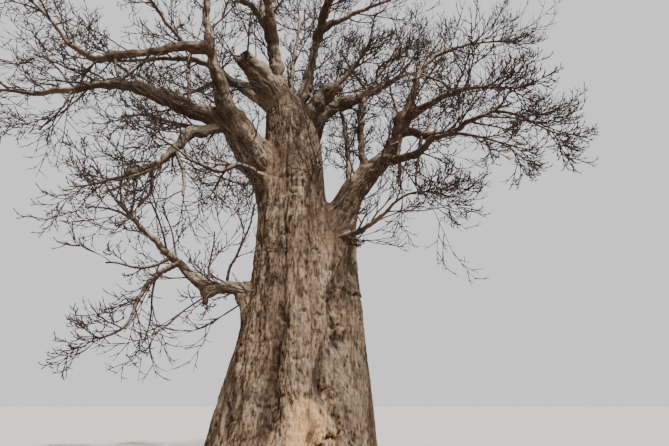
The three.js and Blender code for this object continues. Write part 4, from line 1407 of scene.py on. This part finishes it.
def twigMaterial():
    material, tree, shader = newMaterial("twig bark")
    c = twigColours
    place = addNode(tree, "ShaderNodeTexCoord").outputs["Object"]
    tones = noiseNode(tree, place, 1.6, 3.0, 0.6)
    fine = noiseNode(tree, place, 30.0, 4.0, 0.65)
    mottle = plus(tree, times(tree, tones, 0.6), times(tree, fine, 0.4))
    thin = mixColour(tree, spread(tree, mottle, 0.36, 0.64), c["thin"], c["thinPale"])
    stout = mixColour(tree, spread(tree, mottle, 0.4, 0.62), c["stoutDark"], c["stout"])
    age = spread(tree, attribute(tree, "girth"), *twigAges)
    # painted highlight on the stouter twigs where they face the sun
    paintedHighlightAmount = times(tree, spread(tree, paintedLightFacing(tree), 0.25, 0.8, 0.0, 0.85),
                  spread(tree, mottle, 0.34, 0.56, 0.35, 1.0), spread(tree, age, 0.1, 0.6))
    colour = mixColour(tree, paintedHighlightAmount, mixColour(tree, age, thin, stout), c["paintedTwigHighlight"])
    tree.links.new(colour, shader["Base Color"])
    tree.links.new(spread(tree, fine, 0.3, 0.7, 0.6, 0.85), shader["Roughness"])
    shader["Specular IOR Level"].default_value = 0.3
    bump = addNode(tree, "ShaderNodeBump", {"Height": fine, "Strength": 0.4, "Distance": 0.006})
    tree.links.new(bump.outputs[0], shader["Normal"])
    return material


# The pieces

bark = barkMaterial()
twigBark = twigMaterial()
relief = reliefTree()

print("fusing the wood")
# the left boughs make one piece with the broken one, and the others another
sideOf = {name: "left" if ("left" in name or "broken" in name) else "right" for name in limbs}
shapes = [trunkPart(), *map(webPart, webShape), *(knobPart(*row) for row in knobShape)]
shapes += filter(None, [boughPart(limb, number) for number, limb in enumerate(limbs.values())])
wood = makeWood(shapes, relief, bark)
for piece in splitWood(wood, ("trunk_foot_bark", "trunk_bark", "left_bough_bark",
                              "right_bough_bark")):
    side = piece.name.split("_")[0]
    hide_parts(*(["trunk"] if side == "trunk" else
                         [name for name in limbs if sideOf[name] == side]))
    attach(piece, "root")

print("growing the twigs")
orders = growTwigs()
tubes = tubeTree()

stoutBlocks = thinEnds()
fineParts = []
for block in orders:
    stout = block["radius"] > twigShape["stoutest"]
    if stout.any():
        part = only(block, stout)
        part["line"] = smoothLines(part["line"], 2)
        stoutBlocks.append(lineBlock(part, twigShape["stemTip"]))
    if (~stout).any():
        fineParts.append(only(block, ~stout))

stoutWood = tubePiece("stout_twigs", stoutBlocks, twigShape["stoutSides"], tubes, twigBark)
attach(stoutWood, "root")

# the fine twigs go mass by mass into pieces of about equal weight
perStem, sides = np.zeros(len(stems)), twigShape["fineSides"]
for part in fineParts:
    triangles = 2 * sides * (part["line"].shape[1] - 1) + 2 * (sides - 2)
    perStem += np.bincount(part["stem"], minlength=len(stems)) * triangles
groups, load = [[]], 0
for number in range(len(stems)):
    if load + perStem[number] > twigShape["perPiece"]:
        groups.append([])
        load = 0
    groups[-1].append(number)
    load += perStem[number]
for index, group in enumerate(groups, 1):
    blocks = []
    for part in fineParts:
        mine = np.isin(part["stem"], group)
        if mine.any():
            blocks.append(lineBlock(only(part, mine), twigShape["tip"]))
    piece = tubePiece("fine_twigs_%d" % index, blocks, sides, tubes, twigBark)
    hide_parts(*[stems[number]["name"] for number in group])
    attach(piece, "root")


# Floor, light and camera

studio = {"floorReach": 400.0, "floorTones": ((0.58, 0.56, 0.53), (0.63, 0.61, 0.58)),
          "sunPower": 7.0, "sunSoftness": 3.0, "sunTurn": (30, 0, 34),
          "sunColour": (1.0, 0.95, 0.88),
          "worldColour": (0.96, 0.96, 1.0), "worldPower": 0.21, "backdropPower": 1.0}
viewpoint = {"place": (1.1, -12.5, 1.65), "climb": 20.3, "lens": 26.37, "sensor": 36.0,
             "farthest": 500}

reach = studio["floorReach"]
floor = newPiece("floor", [(-reach, -reach, 0), (reach, -reach, 0), (reach, reach, 0),
                           (-reach, reach, 0)], faces=[(0, 1, 2, 3)])
pale, tree, shader = newMaterial("pale floor")
tone = noiseNode(tree, addNode(tree, "ShaderNodeTexCoord").outputs["Object"], 0.4, 2.0)
tree.links.new(colourRamp(tree, tone, list(zip((0.3, 0.7), studio["floorTones"]))),
               shader["Base Color"])
shader["Roughness"].default_value = 0.95
floor.data.materials.append(pale)

world = bpy.data.worlds.new("pale studio")
world.use_nodes = True
seen = addNode(world.node_tree, "ShaderNodeLightPath").outputs["Is Camera Ray"]
power = spread(world.node_tree, seen, 0.0, 1.0, studio["worldPower"], studio["backdropPower"])
sky = world.node_tree.nodes["Background"].inputs
sky[0].default_value = (*studio["worldColour"], 1)
world.node_tree.links.new(power, sky[1])
bpy.context.scene.world = world

lamp = bpy.data.lights.new("soft key", "SUN")
lamp.energy = studio["sunPower"]
lamp.angle = math.radians(studio["sunSoftness"])
lamp.color = studio["sunColour"]
key = bpy.data.objects.new("soft key", lamp)
key.rotation_euler = [math.radians(turn) for turn in studio["sunTurn"]]
bpy.context.scene.collection.objects.link(key)

lensData = bpy.data.cameras.new("photo view")
lensData.lens = viewpoint["lens"]
lensData.sensor_width = viewpoint["sensor"]
lensData.clip_end = viewpoint["farthest"]
camera = bpy.data.objects.new("photo view", lensData)
camera.location = viewpoint["place"]
camera.rotation_euler = (math.radians(90 + viewpoint["climb"]), 0, 0)
bpy.context.scene.collection.objects.link(camera)
bpy.context.scene.camera = camera
